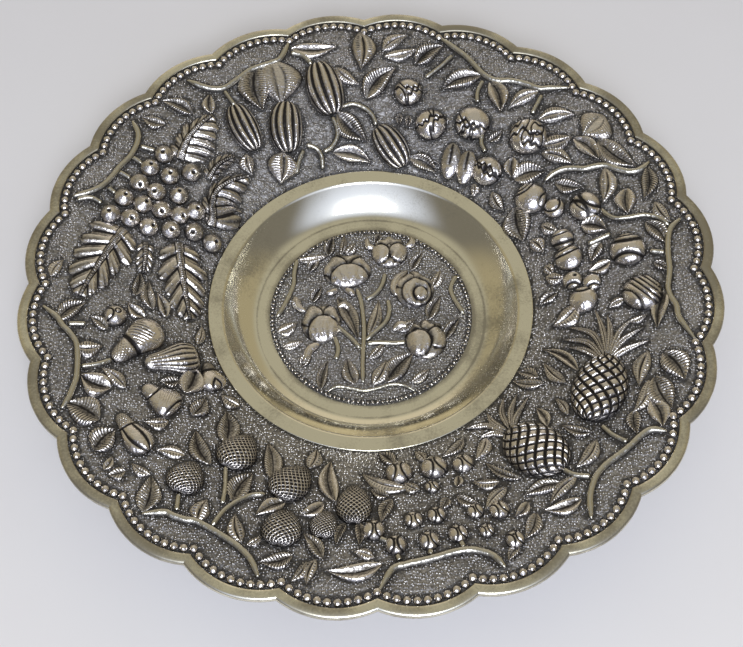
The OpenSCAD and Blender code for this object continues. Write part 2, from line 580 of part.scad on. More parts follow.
module pomegranates() {
  color("#b5b1a8") {
    round_fruits(pomegranate_list, fruit_rise);
    for (m = bell_list) long_fruit(m, egg_outline, round_section, 6, 6);
  }
}

module pomegranate_leaves() {
  color("#9d9a92") border_leaves(pomegranate_leaf_list);
}

module split_fruits() {
  color("#b5b1a8") round_fruits(split_list, fruit_rise);
}

module fig_leaves() {
  color("#9d9a92") border_leaves(fig_leaf_list);
}

module pineapples() {
  color("#b5b1a8") for (m = pineapple_list) long_fruit(m, egg_outline, round_section, 8, 8);
}

module pineapple_crowns() {
  w = crown_w * band_w / 100;
  color("#9d9a92") for (path = crown_list)
    motif(path, w, leaf_h, border_seat(w), leaf_outline, leaf_section, border_point, 6, 4);
}

module pineapple_leaves() {
  color("#9d9a92") border_leaves(pineapple_leaf_list);
}

module cherries() {
  color("#b5b1a8") round_fruits(cherry_list, berry_rise);
}

module cherry_leaves() {
  color("#9d9a92") border_leaves(cherry_leaf_list);
}

module strawberries() {
  color("#b5b1a8") for (m = strawberry_list) long_fruit(m, egg_outline, round_section, 6, 6);
}

module strawberry_leaves() {
  color("#9d9a92") border_leaves(strawberry_leaf_list);
}

module pears() {
  color("#b5b1a8") {
    for (m = pear_list) long_fruit(m, pear_outline, pear_section, 8, 6);
    round_fruits(pip_list, berry_rise);
  }
}

module pear_leaves() {
  color("#9d9a92") border_leaves(pear_leaf_list);
}

rim_binding();
bead_border();
border_sheet();
well_dish();
medallion_disc();
medallion_dots();
medallion_stems();
medallion_blossoms();
medallion_leaves();
branch_ridges();
fruit_stems();
grapes();
vine_leaves();
gourds();
gourd_leaves();
pomegranates();
pomegranate_leaves();
split_fruits();
fig_leaves();
pineapples();
pineapple_crowns();
pineapple_leaves();
cherries();
cherry_leaves();
strawberries();
strawberry_leaves();
pears();
pear_leaves();
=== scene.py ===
# %% [markdown]
# # An offering plate in beaten silver
# The plate is a round dish with a scalloped rim, a row of beads, a wide border of fruit and leaves, a
# plain well and a flower medallion. A silversmith raises the ornament from the sheet with punches, mats
# the ground with a pointed tool, and lets the low places go dark. In Blender such relief could be
# sculpted by hand or pushed up by a height map. This lesson lays each motif on the plate's own surface
# as a grid of points instead, because a formula stays crisp and is easy to change. It keeps with every
# point how deep it lies and how much shade is painted on it, so that one finish can be bright on the
# crests and dark in the creases and on the shaded flanks.

# %% Load the frame
from functools import reduce

import bpy
import numpy as np
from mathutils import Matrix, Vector


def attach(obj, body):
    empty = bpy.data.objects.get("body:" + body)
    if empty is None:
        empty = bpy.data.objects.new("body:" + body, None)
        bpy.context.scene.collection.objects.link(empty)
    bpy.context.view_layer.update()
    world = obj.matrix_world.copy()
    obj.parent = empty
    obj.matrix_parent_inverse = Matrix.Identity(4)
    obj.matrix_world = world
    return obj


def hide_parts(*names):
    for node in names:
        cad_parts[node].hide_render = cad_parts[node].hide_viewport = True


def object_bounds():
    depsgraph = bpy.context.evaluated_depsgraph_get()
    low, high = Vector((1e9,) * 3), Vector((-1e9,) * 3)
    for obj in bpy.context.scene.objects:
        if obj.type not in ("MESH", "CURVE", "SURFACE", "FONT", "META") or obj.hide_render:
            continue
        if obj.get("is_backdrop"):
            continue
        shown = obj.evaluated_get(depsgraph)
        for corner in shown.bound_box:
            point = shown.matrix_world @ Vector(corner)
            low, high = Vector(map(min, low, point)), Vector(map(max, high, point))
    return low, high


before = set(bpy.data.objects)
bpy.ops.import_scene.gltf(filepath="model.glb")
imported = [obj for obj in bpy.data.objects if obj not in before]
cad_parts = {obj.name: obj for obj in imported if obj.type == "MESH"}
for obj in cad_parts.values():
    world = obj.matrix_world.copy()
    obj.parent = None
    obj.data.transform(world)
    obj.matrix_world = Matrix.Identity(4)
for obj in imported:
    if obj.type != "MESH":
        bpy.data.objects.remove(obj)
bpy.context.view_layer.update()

# %% [markdown]
# ## The plate's surface
# Everything lies on one surface: a flat rim zone, a border that falls to the lip with a slight bulge,
# and a flat medallion. The rim is struck as arcs of one radius from centres on one circle, so its
# outline is a formula too. A Shrinkwrap modifier could press flat motifs onto the border, but it would
# take their own height away. With these few functions, a motif is drawn flat, in degrees round the
# plate and percent of the border's width, and then laid in place with its height along the surface's
# normal.

# %% Sizes in millimetres
MM = 0.001
LOBES = 24
TIP_R, NOTCH_R = 170.0, 165.5
HALF = np.pi / LOBES
NOTCH_X = NOTCH_R * np.cos(HALF)
LOBE_R = (TIP_R**2 + NOTCH_R**2 - 2 * TIP_R * NOTCH_X) / (2 * (TIP_R - NOTCH_X))
LOBE_C = TIP_R - LOBE_R
SHEET = 1.2
Z_FLOOR, Z_RIM = 1.2, 40.2
BINDING_W, BINDING_T, BINDING_EDGE = 5.0, 1.6, 1.2
BEAD_D, BEAD_H, BEAD_GAP, BEADS_PER_LOBE = 3.3, 1.4, 0.8, 10
BEAD_INSET = BINDING_W + BEAD_GAP + BEAD_D / 2
Z_SHEET = Z_RIM - BINDING_T
BORDER_RISE, BORDER_BULGE = 25.0, 4.0
Z_BORDER = Z_SHEET - BORDER_RISE
LIP_R, LIP_W, LIP_STEP, SLOPE_W = 0.48 * TIP_R, 7.4, 0.5, 16.0
SLOPE_R = LIP_R - LIP_W
FLOOR_R, FLOOR_RING = SLOPE_R - SLOPE_W, 6.6
MEDALLION_R, MEDALLION_T = FLOOR_R - FLOOR_RING, 0.8
Z_MEDALLION = Z_FLOOR + MEDALLION_T


def rim_radius(angle, inset):
    """Radius of the scalloped outline: the far crossing of a ray with its lobe's circle."""
    swing = np.mod(angle, 2 * HALF) - HALF
    return LOBE_C * np.cos(swing) + np.sqrt((LOBE_R - inset) ** 2 - (LOBE_C * np.sin(swing)) ** 2)


BAND_R = float(rim_radius(0.0, BEAD_INSET))
BAND_W = BAND_R - LIP_R
print("border from", LIP_R, "to", round(BAND_R, 2), "mm")


# %% The border as a function
def ground_z(r):
    """Height of the border: a straight rise plus a parabola that bulges in the middle."""
    s = np.clip((r - LIP_R) / BAND_W, 0, 1)
    return Z_BORDER + BORDER_RISE * s + 4 * BORDER_BULGE * s * (1 - s)


def ground_slope(r):
    """Derivative of ground_z: the rise per millimetre of radius, and flat beyond the bead row."""
    s = np.clip((r - LIP_R) / BAND_W, 0, 1)
    return np.where(r > BAND_R, 0.0, (BORDER_RISE + 4 * BORDER_BULGE * (1 - 2 * s)) / BAND_W)


def band_radius(percent):
    """Radius at a percentage of the border, 0 at the lip and 100 at the bead row's notches."""
    return LIP_R + BAND_W * percent / 100


def on_border(angle, percent, height):
    """Point on the border, moved by height along the surface's normal. Angle is in degrees."""
    r = band_radius(percent)
    slope = ground_slope(r)
    long = np.sqrt(1 + slope**2)
    out, a = r - height * slope / long, np.radians(angle)
    return np.stack([out * np.cos(a), out * np.sin(a), ground_z(r) + height / long], -1)


print("border's height from", ground_z(LIP_R), "to", ground_z(BAND_R), "mm")

# %% [markdown]
# ## Finishes
# Old silver is bright where hands and cloths reach it and nearly black where they don't. A shader could
# guess the creases from the Geometry node's Pointiness, but that depends on how fine the mesh is. Here
# each mesh carries a depth for every point, with painted shade added on the motifs' lower flanks and on
# parts of some motifs, and that drives the tarnish and the painted shade. It is broken up with noise,
# because tarnish creeps. The matted ground is a field of punch marks, made from cell noise, and the
# polished well has a faint film and a warm colour, which is partly a painted reflection of the warm
# room. Tarnish with painted shade, and matting, are node groups: every finish uses the tarnish-and-shade
# group with its own values, and the ground adds the matting.

# %% Node helpers
FLOAT, COLOR = "NodeSocketFloat", "NodeSocketColor"


def put(tree, kind, inputs=None, **settings):
    """One node: its properties, and its sockets, each a constant or another node's output."""
    node = tree.nodes.new("ShaderNode" + kind)
    for key, value in settings.items():
        setattr(node, key, value)
    for key, value in (inputs or {}).items():
        if isinstance(value, bpy.types.NodeSocket):
            tree.links.new(value, node.inputs[key])
        else:
            node.inputs[key].default_value = value
    return node


def calc(tree, operation, *terms):
    """The result of a math node. Each term is a number or another node's output."""
    return put(tree, "Math", dict(enumerate(terms)), operation=operation).outputs[0]


def noise(tree, where, scale, detail, roughness=0.5):
    """Noise from 0 to 1 at a place."""
    inputs = {"Vector": where, "Scale": scale, "Detail": detail, "Roughness": roughness}
    return put(tree, "TexNoise", inputs).outputs["Fac"]


def smooth(tree, value, low, high):
    """S-curve of a value: 0 at low and 1 at high."""
    return put(tree, "MapRange", {"Value": value, "From Min": low, "From Max": high},
               interpolation_type="SMOOTHSTEP").outputs[0]


def blend(tree, mask, under, over):
    """One colour laid over another by a mask. A mix node's sockets 6 and 7 are its colours."""
    return put(tree, "Mix", {"Factor": mask, 6: under, 7: over}, data_type="RGBA").outputs[2]


def node_group(name, inputs, outputs):
    """A shader group with named sockets: its tree, what it is given and where its results go."""
    tree = bpy.data.node_groups.new(name, "ShaderNodeTree")
    for label, value in inputs.items():
        kind = FLOAT if isinstance(value, float) else COLOR
        tree.interface.new_socket(label, in_out="INPUT", socket_type=kind).default_value = value
    for label, kind in outputs.items():
        tree.interface.new_socket(label, in_out="OUTPUT", socket_type=kind)
    return tree, tree.nodes.new("NodeGroupInput").outputs, tree.nodes.new("NodeGroupOutput").inputs


# %% Tarnish and painted shade: dark in the creases and on the lower flanks
def make_tarnish_and_shade():
    """Mask = S-curve of depth and painted shade plus noise; colour and roughness are mixed by the mask."""
    inputs = {"Recess_and_shade": 0.0, "Clean": (0.8, 0.8, 0.8, 1), "Dark": (0.05, 0.05, 0.05, 1),
              "Shine": 0.2, "Creep": 0.5}
    tree, given, result = node_group("tarnish_and_shade", inputs, {"Color": COLOR, "Roughness": FLOAT})
    where = put(tree, "TexCoord").outputs["Object"]
    speck = calc(tree, "MULTIPLY_ADD", noise(tree, where, 900.0, 3.0), 0.5, -0.25)
    cloud = calc(tree, "SUBTRACT", noise(tree, where, 70.0, 2.0), 0.5)
    cloud = calc(tree, "MULTIPLY", cloud, given["Creep"])
    total = calc(tree, "ADD", calc(tree, "ADD", given["Recess_and_shade"], speck), cloud)
    mask = smooth(tree, total, 0.15, 0.8)
    tree.links.new(blend(tree, mask, given["Clean"], given["Dark"]), result["Color"])
    tree.links.new(calc(tree, "MULTIPLY_ADD", mask, 0.3, given["Shine"]), result["Roughness"])
    return tree


tarnish_and_shade = make_tarnish_and_shade()
print("tarnish group:", len(tarnish_and_shade.nodes), "nodes")


# %% Matting: punch marks in the ground
def make_matting():
    """Cell noise: each cell's middle is a raised grain, each border a punched pit, on uneven metal."""
    tree, given, result = node_group("matting", {"Grains": 1100.0}, {"Height": FLOAT, "Tops": FLOAT})
    where = put(tree, "TexCoord").outputs["Object"]
    cells = put(tree, "TexVoronoi", {"Vector": where, "Scale": given["Grains"], "Randomness": 0.75},
                feature="F1")
    tops = smooth(tree, cells.outputs["Distance"], 0.55, 0.12)
    grit, swells = noise(tree, where, 1500.0, 2.0), noise(tree, where, 260.0, 3.0)
    height = calc(tree, "MULTIPLY_ADD", grit, 0.5, tops)
    height = calc(tree, "MULTIPLY_ADD", swells, 2.5, height)
    uneven = put(tree, "MapRange", {"Value": grit, "From Min": 0.35, "From Max": 0.65, "To Min": 0.45})
    tree.links.new(height, result["Height"])
    tree.links.new(calc(tree, "MULTIPLY", tops, uneven.outputs[0]), result["Tops"])
    return tree


matting = make_matting()
print("matting group:", len(matting.nodes), "nodes")


# %% Raised silver
def new_finish(name):
    """A metal material: its tree, its Principled shader, and the mesh's attribute of depth and painted shade.
    """
    finish = bpy.data.materials.new(name)
    finish.use_nodes = True
    tree = finish.node_tree
    shader = tree.nodes["Principled BSDF"]
    shader.inputs["Metallic"].default_value = 1.0
    return finish, tree, shader, put(tree, "Attribute", attribute_name="recess_and_shade").outputs["Fac"]


def tarnished_and_shaded(tree, shader, depth, clean, dark, shine, creep=0.5):
    """Places the tarnish-and-shade group with this finish's colours, and links it to the shader."""
    given = {"Recess_and_shade": depth, "Clean": (*clean, 1), "Dark": (*dark, 1), "Shine": shine, "Creep": creep}
    group = put(tree, "Group", given, node_tree=tarnish_and_shade)
    tree.links.new(group.outputs["Color"], shader.inputs["Base Color"])
    tree.links.new(group.outputs["Roughness"], shader.inputs["Roughness"])


def bumped(tree, shader, height, strength, distance):
    """Links a height to the shader's normal as bump."""
    bump = put(tree, "Bump", {"Height": height, "Strength": strength, "Distance": distance})
    tree.links.new(bump.outputs[0], shader.inputs["Normal"])


def make_raised(name, clean, dark, shine, dent):
    """Raised silver: tarnished and painted with shade by depth, with the small dents that a hammer leaves."""
    finish, tree, shader, depth = new_finish(name)
    tarnished_and_shaded(tree, shader, depth, clean, dark, shine)
    where = put(tree, "TexCoord").outputs["Object"]
    bumped(tree, shader, noise(tree, where, 480.0, 3.0), strength=dent, distance=0.0006)
    return finish


FINISHES = {
    "relief_silver": make_raised("relief silver", clean=(0.78, 0.73, 0.68), dark=(0.04, 0.037, 0.038),
                                 shine=0.15, dent=0.9),
    "branch_silver": make_raised("branch silver", clean=(0.60, 0.57, 0.49), dark=(0.05, 0.046, 0.043),
                                 shine=0.22, dent=0.6),
}
print("raised finishes:", list(FINISHES))


# %% Matted ground and polished silver
def make_ground():
    """Oxidised ground: dark pits, brighter grains, and the grain as bump."""
    finish, tree, shader, depth = new_finish("matted ground")
    marks = put(tree, "Group", {"Grains": 720.0}, node_tree=matting)
    pits = calc(tree, "MULTIPLY_ADD", marks.outputs["Tops"], -0.9, 0.575)
    tarnished_and_shaded(tree, shader, calc(tree, "ADD", depth, pits), clean=(0.725, 0.70, 0.69),
              dark=(0.10, 0.096, 0.094), shine=0.26, creep=0.25)
    bumped(tree, shader, marks.outputs["Height"], strength=1.0, distance=0.0007)
    return finish


def make_polished():
    """Polished silver: warm, partly a painted reflection of the room; a cloudy film; a hardly wavy surface.
    """
    finish, tree, shader, depth = new_finish("polished silver")
    where = put(tree, "TexCoord").outputs["Object"]
    film = calc(tree, "MULTIPLY_ADD", noise(tree, where, 26.0, 5.0, 0.6), 1.8, -0.68)
    # The warm clean colour is partly aged silver and partly a painted reflection of the warm room.
    tarnished_and_shaded(tree, shader, calc(tree, "MULTIPLY_ADD", depth, 0.8, film), clean=(0.865, 0.82, 0.66),
              dark=(0.36, 0.33, 0.26), shine=0.13)
    bumped(tree, shader, noise(tree, where, 55.0, 1.0), strength=0.12, distance=0.001)
    return finish


FINISHES["matted_ground"] = make_ground()
FINISHES["polished_silver"] = make_polished()
print("finishes:", list(FINISHES))

# %% [markdown]
# ## From grids to meshes
# Three kinds of grid make every piece. A long motif is rows of points between two tips, closed by a
# sole below. A round one is rings about a pole, and a turned one is a profile carried round. Blender's
# Screw and Array modifiers could build some of them, but here every copy differs from the next, and
# every point has its own depth. All motifs of one kind go into one mesh. The faces are index patterns,
# so numpy writes them for all motifs at once.


# %% Face patterns
def grid(rows, columns, ring_rows=False, ring_columns=False):
    """Quads between neighbours in a grid of points, which may close on itself either way."""
    i, j = np.meshgrid(np.arange(rows - 1 + ring_rows), np.arange(columns - 1 + ring_columns), indexing="ij")
    n, m = (i + 1) % rows * columns, (j + 1) % columns
    return np.stack([i * columns + j, n + j, n + m, i * columns + m], -1).reshape(-1, 4)


def repeated(patterns, count, size):
    """Face patterns of one motif, moved on by its number of points for each further motif."""
    shift = (np.arange(count) * size)[:, None, None]
    return [(p[None] + shift).reshape(-1, p.shape[1]) for p in patterns]


def motif_faces(count, rows, wide):
    """Quads of the skin and the sole, and triangles at the tips, for count motifs of equal grids."""
    k, j = np.arange(rows - 1) * wide, np.arange(wide - 1)
    sole = np.stack([k, k + wide - 1, k + 2 * wide - 1, k + wide], 1)
    tip, last = rows * wide, (rows - 1) * wide
    fans = np.concatenate([
        np.stack([0 * j + tip, j, j + 1], 1),
        np.stack([0 * j + tip + 1, last + j + 1, last + j], 1),
        [[tip, wide - 1, 0], [tip + 1, last, last + wide - 1]],
    ])
    return repeated([np.concatenate([grid(rows, wide), sole]), fans], count, tip + 2)


def round_faces(count, rings, spokes):
    """A fan at the pole, quads between rings and one flat sole, for count domes of equal grids."""
    j = np.arange(spokes)
    fan = np.stack([0 * j, 1 + j, 1 + (j + 1) % spokes], 1)
    sole = (1 + (rings - 1) * spokes + j[::-1])[None]
    return repeated([fan, 1 + grid(rings, spokes, ring_columns=True), sole], count, 1 + rings * spokes)


def turned_faces(around, along, closed=True):
    """Quads of a profile of along points, closed or open, carried round in around steps."""
    return [grid(around, along, True, closed)[:, [0, 3, 2, 1]]]


def capped_faces(around, along):
    """As turned_faces, but the profile is open and runs from a pole on top to a pole below."""
    i = np.arange(around) * along
    n, top = np.roll(i, -1), np.full(around, around * along)
    first = np.stack([top, i, n], 1)
    last = np.stack([top + 1, n + along - 1, i + along - 1], 1)
    return turned_faces(around, along, closed=False) + [first, last]


def join(parts):
    """Several sets of points, faces and depths as one, with the face numbers moved along."""
    starts = np.cumsum([0] + [len(points) for points, _, _ in parts])
    faces = [pattern + start for (_, patterns, _), start in zip(parts, starts) for pattern in patterns]
    return np.concatenate([p[0] for p in parts]), faces, np.concatenate([p[2] for p in parts])


print("faces of a dome of 4 rings and 12 spokes:", sum(map(len, round_faces(1, rings=4, spokes=12))))

# %% Putting a piece into the scene
laid = []


def add_piece(node, slot, points, faces, recess_and_shade):
    """Writes the mesh, its attribute of depth and painted shade, and its finish, and hangs the piece on the
    plate's body.
    """
    name = node.replace("_", "-")
    laid.append(np.reshape(points, (-1, 3)))
    mesh = bpy.data.meshes.new(name)
    mesh.from_pydata((laid[-1] * MM).tolist(), [], [face for part in faces for face in part.tolist()])
    depth = np.clip(np.ravel(recess_and_shade), -1, 1).astype(np.float32)
    mesh.attributes.new("recess_and_shade", "FLOAT", "POINT").data.foreach_set("value", depth)
    mesh.polygons.foreach_set("use_smooth", np.ones(len(mesh.polygons), dtype=bool))
    mesh.materials.append(FINISHES[slot])
    piece = bpy.data.objects.new(name, mesh)
    bpy.context.scene.collection.objects.link(piece)
    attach(piece, "root")
    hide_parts(node)
    print(f"{name}: {len(mesh.vertices)} points, {len(mesh.polygons)} faces")

# %% [markdown]
# ## The well
# On the real plate the well is sunk from the same sheet and then burnished. A Screw modifier could turn
# its profile. Numpy turns it here, because dark lines then go in at their exact radii: where the slope
# meets the floor and round the medallion, where no cloth reaches. The well is one shell of floor,
# hollow slope and lip, with the underside parallel to them. Its profile is carried round the axis and
# closed at both poles.


# %% Turned forms
def turn(profile, around):
    """A profile of radius and height carried round the axis."""
    a = np.linspace(0, 2 * np.pi, around, endpoint=False)[:, None]
    r, z = profile[:, 0][None], profile[:, 1][None]
    return np.stack([r * np.cos(a), r * np.sin(a), z + 0 * a], -1)


def capped(profile, around, top, base):
    """Points and faces of an open profile carried round, with a pole above and one below."""
    points = np.concatenate([turn(profile, around).reshape(-1, 3), [[0, 0, top], [0, 0, base]]])
    return points, capped_faces(around, len(profile))


def arc(centre, radius, start, end, steps):
    """Points on a circle between two angles in degrees, for rounded edges."""
    a = np.radians(np.linspace(start, end, steps))
    return np.stack([centre[0] + radius * np.cos(a), centre[1] + radius * np.sin(a)], 1)


def level(start, end, z, steps):
    """A flat stretch of a profile, from one radius to another."""
    return np.stack([np.linspace(start, end, steps), np.full(steps, z)], 1)


def hump(x, width):
    """A bell curve: e to the minus square of x over the width."""
    return np.exp(-((x / width) ** 2))


print("a quarter round in three points:", arc((0, 0), 1, 90, 0, 3).round(2).tolist())

# %% Well
HOLLOW, LIP_ROUND, POLE_R, WELL_STEPS = 1.7, 0.6, 4, 256


def well_profile(steps=40):
    """Floor, power-curve slope, flat lip with rounded edges, and the parallel underside."""
    z_lip = Z_BORDER + LIP_STEP
    rise = z_lip - Z_FLOOR
    t = np.linspace(0, 1, steps)
    top = np.stack([FLOOR_R + SLOPE_W * t, Z_FLOOR + rise * t**HOLLOW], 1)
    tilt = np.arctan(rise / SLOPE_W * HOLLOW * t ** (HOLLOW - 1))
    under = top + SHEET * np.stack([np.sin(tilt), -np.cos(tilt)], 1)
    inner = [[SLOPE_R + 0.5, z_lip - 0.06], [SLOPE_R + 1.0, z_lip]]
    lip = level(SLOPE_R + 1.5, LIP_R - 2 * LIP_ROUND, z_lip, 8)
    outer = arc((LIP_R - LIP_ROUND, z_lip - LIP_ROUND), LIP_ROUND, 90, 0, 6)
    brim = [[LIP_R, z_lip - LIP_STEP - SHEET]]
    floor, base = level(POLE_R, FLOOR_R - 1, Z_FLOOR, 20), level(FLOOR_R - 1, POLE_R, 0.0, 20)
    return np.concatenate([floor, top[:-1], inner, lip, outer, brim, under[::-1], base])


profile = well_profile()
r, upper = profile[:, 0], profile[:, 1] > 1
dark = (0.6 * hump(r - MEDALLION_R, 0.9) + 0.5 * hump(r - FLOOR_R, 0.5)) * upper
add_piece("well_dish", "polished_silver", *capped(profile, WELL_STEPS, Z_FLOOR, 0),
          np.append(np.tile(dark, WELL_STEPS), [0, 0]))

# %% [markdown]
# ## The rim: binding and beads
# The binding is a plain strip, bent over the sheet's edge and soldered, and dull in places. A bevelled
# curve could follow the scallops, but its inner side would bunch up at the notches. So one profile,
# with rounded edges, is carried along the outline, and every point of it keeps its distance from the
# edge, which makes the inner side a scallop too. Points crowd towards the notches, to keep them crisp.
# The beads were struck one by one. They could be copies of one ball; as small domes, spaced along each
# arc, they are one light mesh.


# %% Rim binding
def binding_profile():
    """Distance inside the edge and height: crowned top, rounded edges, and the turned-down lip."""
    u = np.linspace(-1, 1, 9)
    crown = np.stack([BINDING_W / 2 - u * (BINDING_W / 2 - 0.8), Z_RIM - 0.22 * u**2], 1)
    inner = [[BINDING_W, Z_SHEET], [BINDING_W, Z_RIM - 0.8], [BINDING_W - 0.25, Z_RIM - 0.4]]
    under = Z_SHEET - SHEET
    outer = [[0.35, Z_RIM - 0.55], [0.11, Z_RIM - 0.95], [0.05, Z_RIM - 1.4], [0.05, under + 0.4],
             [0.35, under], [BINDING_EDGE, under], [BINDING_EDGE, Z_SHEET]]
    return np.concatenate([inner, crown, outer])


def lobed_sweep(profile, per_lobe):
    """The profile carried round: each point at the rim's radius for its own distance inside."""
    u = np.sin(np.pi / 2 * np.linspace(-1, 1, per_lobe, endpoint=False))
    a = ((np.arange(LOBES)[:, None] * 2 + 1 + u) * HALF).reshape(-1, 1)
    r = rim_radius(a, profile[:, 0][None])
    return np.stack([r * np.cos(a), r * np.sin(a), profile[:, 1][None] + 0 * a], -1)


profile = binding_profile()
points = lobed_sweep(profile, per_lobe=28)
a = np.arctan2(points[..., 1], points[..., 0])
dimming = 0.42 + 0.1 * np.cos(2 * a) + 0.08 * np.sin(5 * a + 1) + 0.06 * np.sin(11 * a)
add_piece("rim_binding", "polished_silver", points, turned_faces(*points.shape[:2]),
          np.where(profile[:, 0] > BINDING_W - 0.1, 0.75, dimming))


# %% Beads and dots
def ramp(x, low, high):
    """Smooth step: 0 below low, 1 above high, and a cubic S between."""
    f = np.clip((x - low) / (high - low), 0, 1)
    return f * f * (3 - 2 * f)


def unit_disc(rings, spokes, reach=1.0):
    """A pole and rings of points out to a reach, at equal steps of a ball's angle, as x and y."""
    rho = reach * np.sin(np.linspace(0, np.pi / 2, rings + 1)[1:])[:, None]
    a = np.linspace(0, 2 * np.pi, spokes, endpoint=False)[None]
    return np.append(0, rho * np.cos(a))[None], np.append(0, rho * np.sin(a))[None]


def small_domes(centres, radius, height, rings, spokes, dimming=0.0):
    """Ball caps on a flat place, dark at the foot."""
    x, y = unit_disc(rings, spokes)
    far = np.hypot(x, y)
    cap = np.stack([radius * x, radius * y, height * np.sqrt(np.clip(1 - far**2, 0, 1))], -1)
    points = (centres[:, None] + cap).reshape(-1, 3)
    depth = np.tile(dimming + ramp(far, 0.9, 1.05), len(centres))
    return points, round_faces(len(centres), rings, spokes), depth


arc_r = LOBE_R - BEAD_INSET
swing = np.arcsin(BAND_R * np.sin(HALF) / arc_r)
step = swing * (2 * np.arange(BEADS_PER_LOBE) / BEADS_PER_LOBE - 1)[None]
middle = ((2 * np.arange(LOBES) + 1) * HALF)[:, None]
x = LOBE_C * np.cos(middle) + arc_r * np.cos(middle + step)
y = LOBE_C * np.sin(middle) + arc_r * np.sin(middle + step)
centres = np.stack([x, y, np.full_like(x, Z_SHEET)], -1).reshape(-1, 3)
add_piece("bead_border", "relief_silver",
          *small_domes(centres, 0.6 * BEAD_D, 1.2 * BEAD_H, rings=4, spokes=12))

DOTS, DOT_D, DOT_INSET = 132, 1.5, 1.3
a, ring = np.linspace(0, 2 * np.pi, DOTS, endpoint=False), MEDALLION_R - DOT_INSET
centres = np.stack([ring * np.cos(a), ring * np.sin(a), np.full(DOTS, Z_MEDALLION)], -1)
add_piece("medallion_dots", "relief_silver",
          *small_domes(centres, 0.5 * DOT_D, 0.3 * DOT_D, rings=2, spokes=8, dimming=0.2))

# %% [markdown]
# ## Laying long motifs
# A chaser draws the middle of a leaf, a stem or a pear and works out to both sides of it. A Curve
# modifier could bend a ready mesh along such a line, but it doesn't know the domed border. Here a motif
# is a centre line with points to both sides: the line's own direction gives the side, and the formulas
# give the height. Just beyond its edge each motif dips a little into the ground, like a sunk skirt, so
# that no gap shows below it.

# %% Lay a grid along centre lines
SINK, SKIRT = 0.2, 1.12


def lay_on_border(lines, side, height):
    """Points beside lines of degrees and percent. Side is in millimetres, left seen from above."""
    r = band_radius(lines[..., 1])
    unit = np.stack([np.radians(1) * r, BAND_W / 100 * np.sqrt(1 + ground_slope(r) ** 2)], -1)
    run = np.gradient(lines, axis=1) * unit
    run /= np.linalg.norm(run, axis=-1, keepdims=True)
    left = np.stack([run[..., 1], -run[..., 0]], -1) / unit
    spot = lines[:, :, None] + left[:, :, None] * side[..., None]
    return on_border(spot[..., 0], spot[..., 1], height)


def long_motif(lay, lines, side, height, depth):
    """Points, faces and depths of motifs given on grids of motif, row and place across."""
    side, height, depth = np.broadcast_arrays(side, height, depth)
    count, rows, wide = side.shape
    body = lay(lines, side, height)[:, 1:-1].reshape(count, -1, 3)
    tips = lay(lines, 0 * side[..., :1], 0 * side[..., :1] - SINK)[:, [0, -1], 0]
    points = np.concatenate([body, tips], 1).reshape(-1, 3)
    depth = np.concatenate([depth[:, 1:-1].reshape(count, -1), np.ones((count, 2))], 1)
    return points, motif_faces(count, rows - 2, wide), depth.ravel()


def straight_lines(rows, t, over):
    """Centre lines from the first point to the second of each row, a share longer, and the widths."""
    rows = np.asarray(rows, float)
    start, end = rows[:, None, :2], rows[:, None, 2:4]
    share = (t * (1 + 2 * over) - over)[None, :, None]
    return start + (end - start) * share, rows[:, 4][:, None, None]


def curve(path, t):
    """A smooth curve through the points of a path: each span a cubic, its slopes from neighbours."""
    path = np.asarray(path, float)
    n = len(path) - 1
    i = np.minimum((t * n).astype(int), n - 1)
    f = (t * n - i)[:, None]
    a, b, c, d = (path[np.clip(i + k, 0, n)] for k in (-1, 0, 1, 2))
    return b + 0.5 * f * (c - a + f * (2 * a - 5 * b + 4 * c - d + f * (3 * (b - c) + d - a)))


def line_length(lines):
    """Millimetres along border lines, from the first row to the last."""
    r = band_radius(lines[..., 1])
    unit = np.stack([np.radians(1) * r, np.full_like(r, BAND_W / 100)], -1)
    return np.linalg.norm(np.diff(lines, axis=1) * unit[:, 1:], axis=-1).sum(1)[:, None, None]


print("one percent of the border is", round(BAND_W / 100, 3), "mm")

# %% [markdown]
# ## Leaves
# The chaser worked the border's pointed leaves in two ways. Some are cups, with a bright raised edge, a
# middle painted darker as shade, and slanting nicks. Others are two pillows beside a crease, with a row
# of punched dots, and the broadest have a raised rib between two grooves; one half of each is painted
# darker as shade. One leaf could be modelled and copied, but in beaten work no two are alike. So one
# formula makes all of them, with a number for the style, and every second leaf bows the other way. A row
# of the list holds the degrees and percent of both ends, read off the photograph, and a width in percent.

# %% Leaf form
# SHADE is how much painted shade darkens a motif's lower flanks, from its height.
SHADE = 0.65


def deepest(*depths):
    """The largest of several depths at each point."""
    return reduce(np.maximum, depths)


def wave(turns):
    """A cosine between 0 and 1, with a crest at each whole number."""
    return 0.5 + 0.5 * np.cos(2 * np.pi * turns)


def oval(bend, power):
    """Half width along a form: the sine of the length, which is bent first, to a power."""
    def outline(t):
        return np.clip(np.sin(np.pi * np.clip(t, 0, 1) ** bend), 0, 1) ** power
    return outline


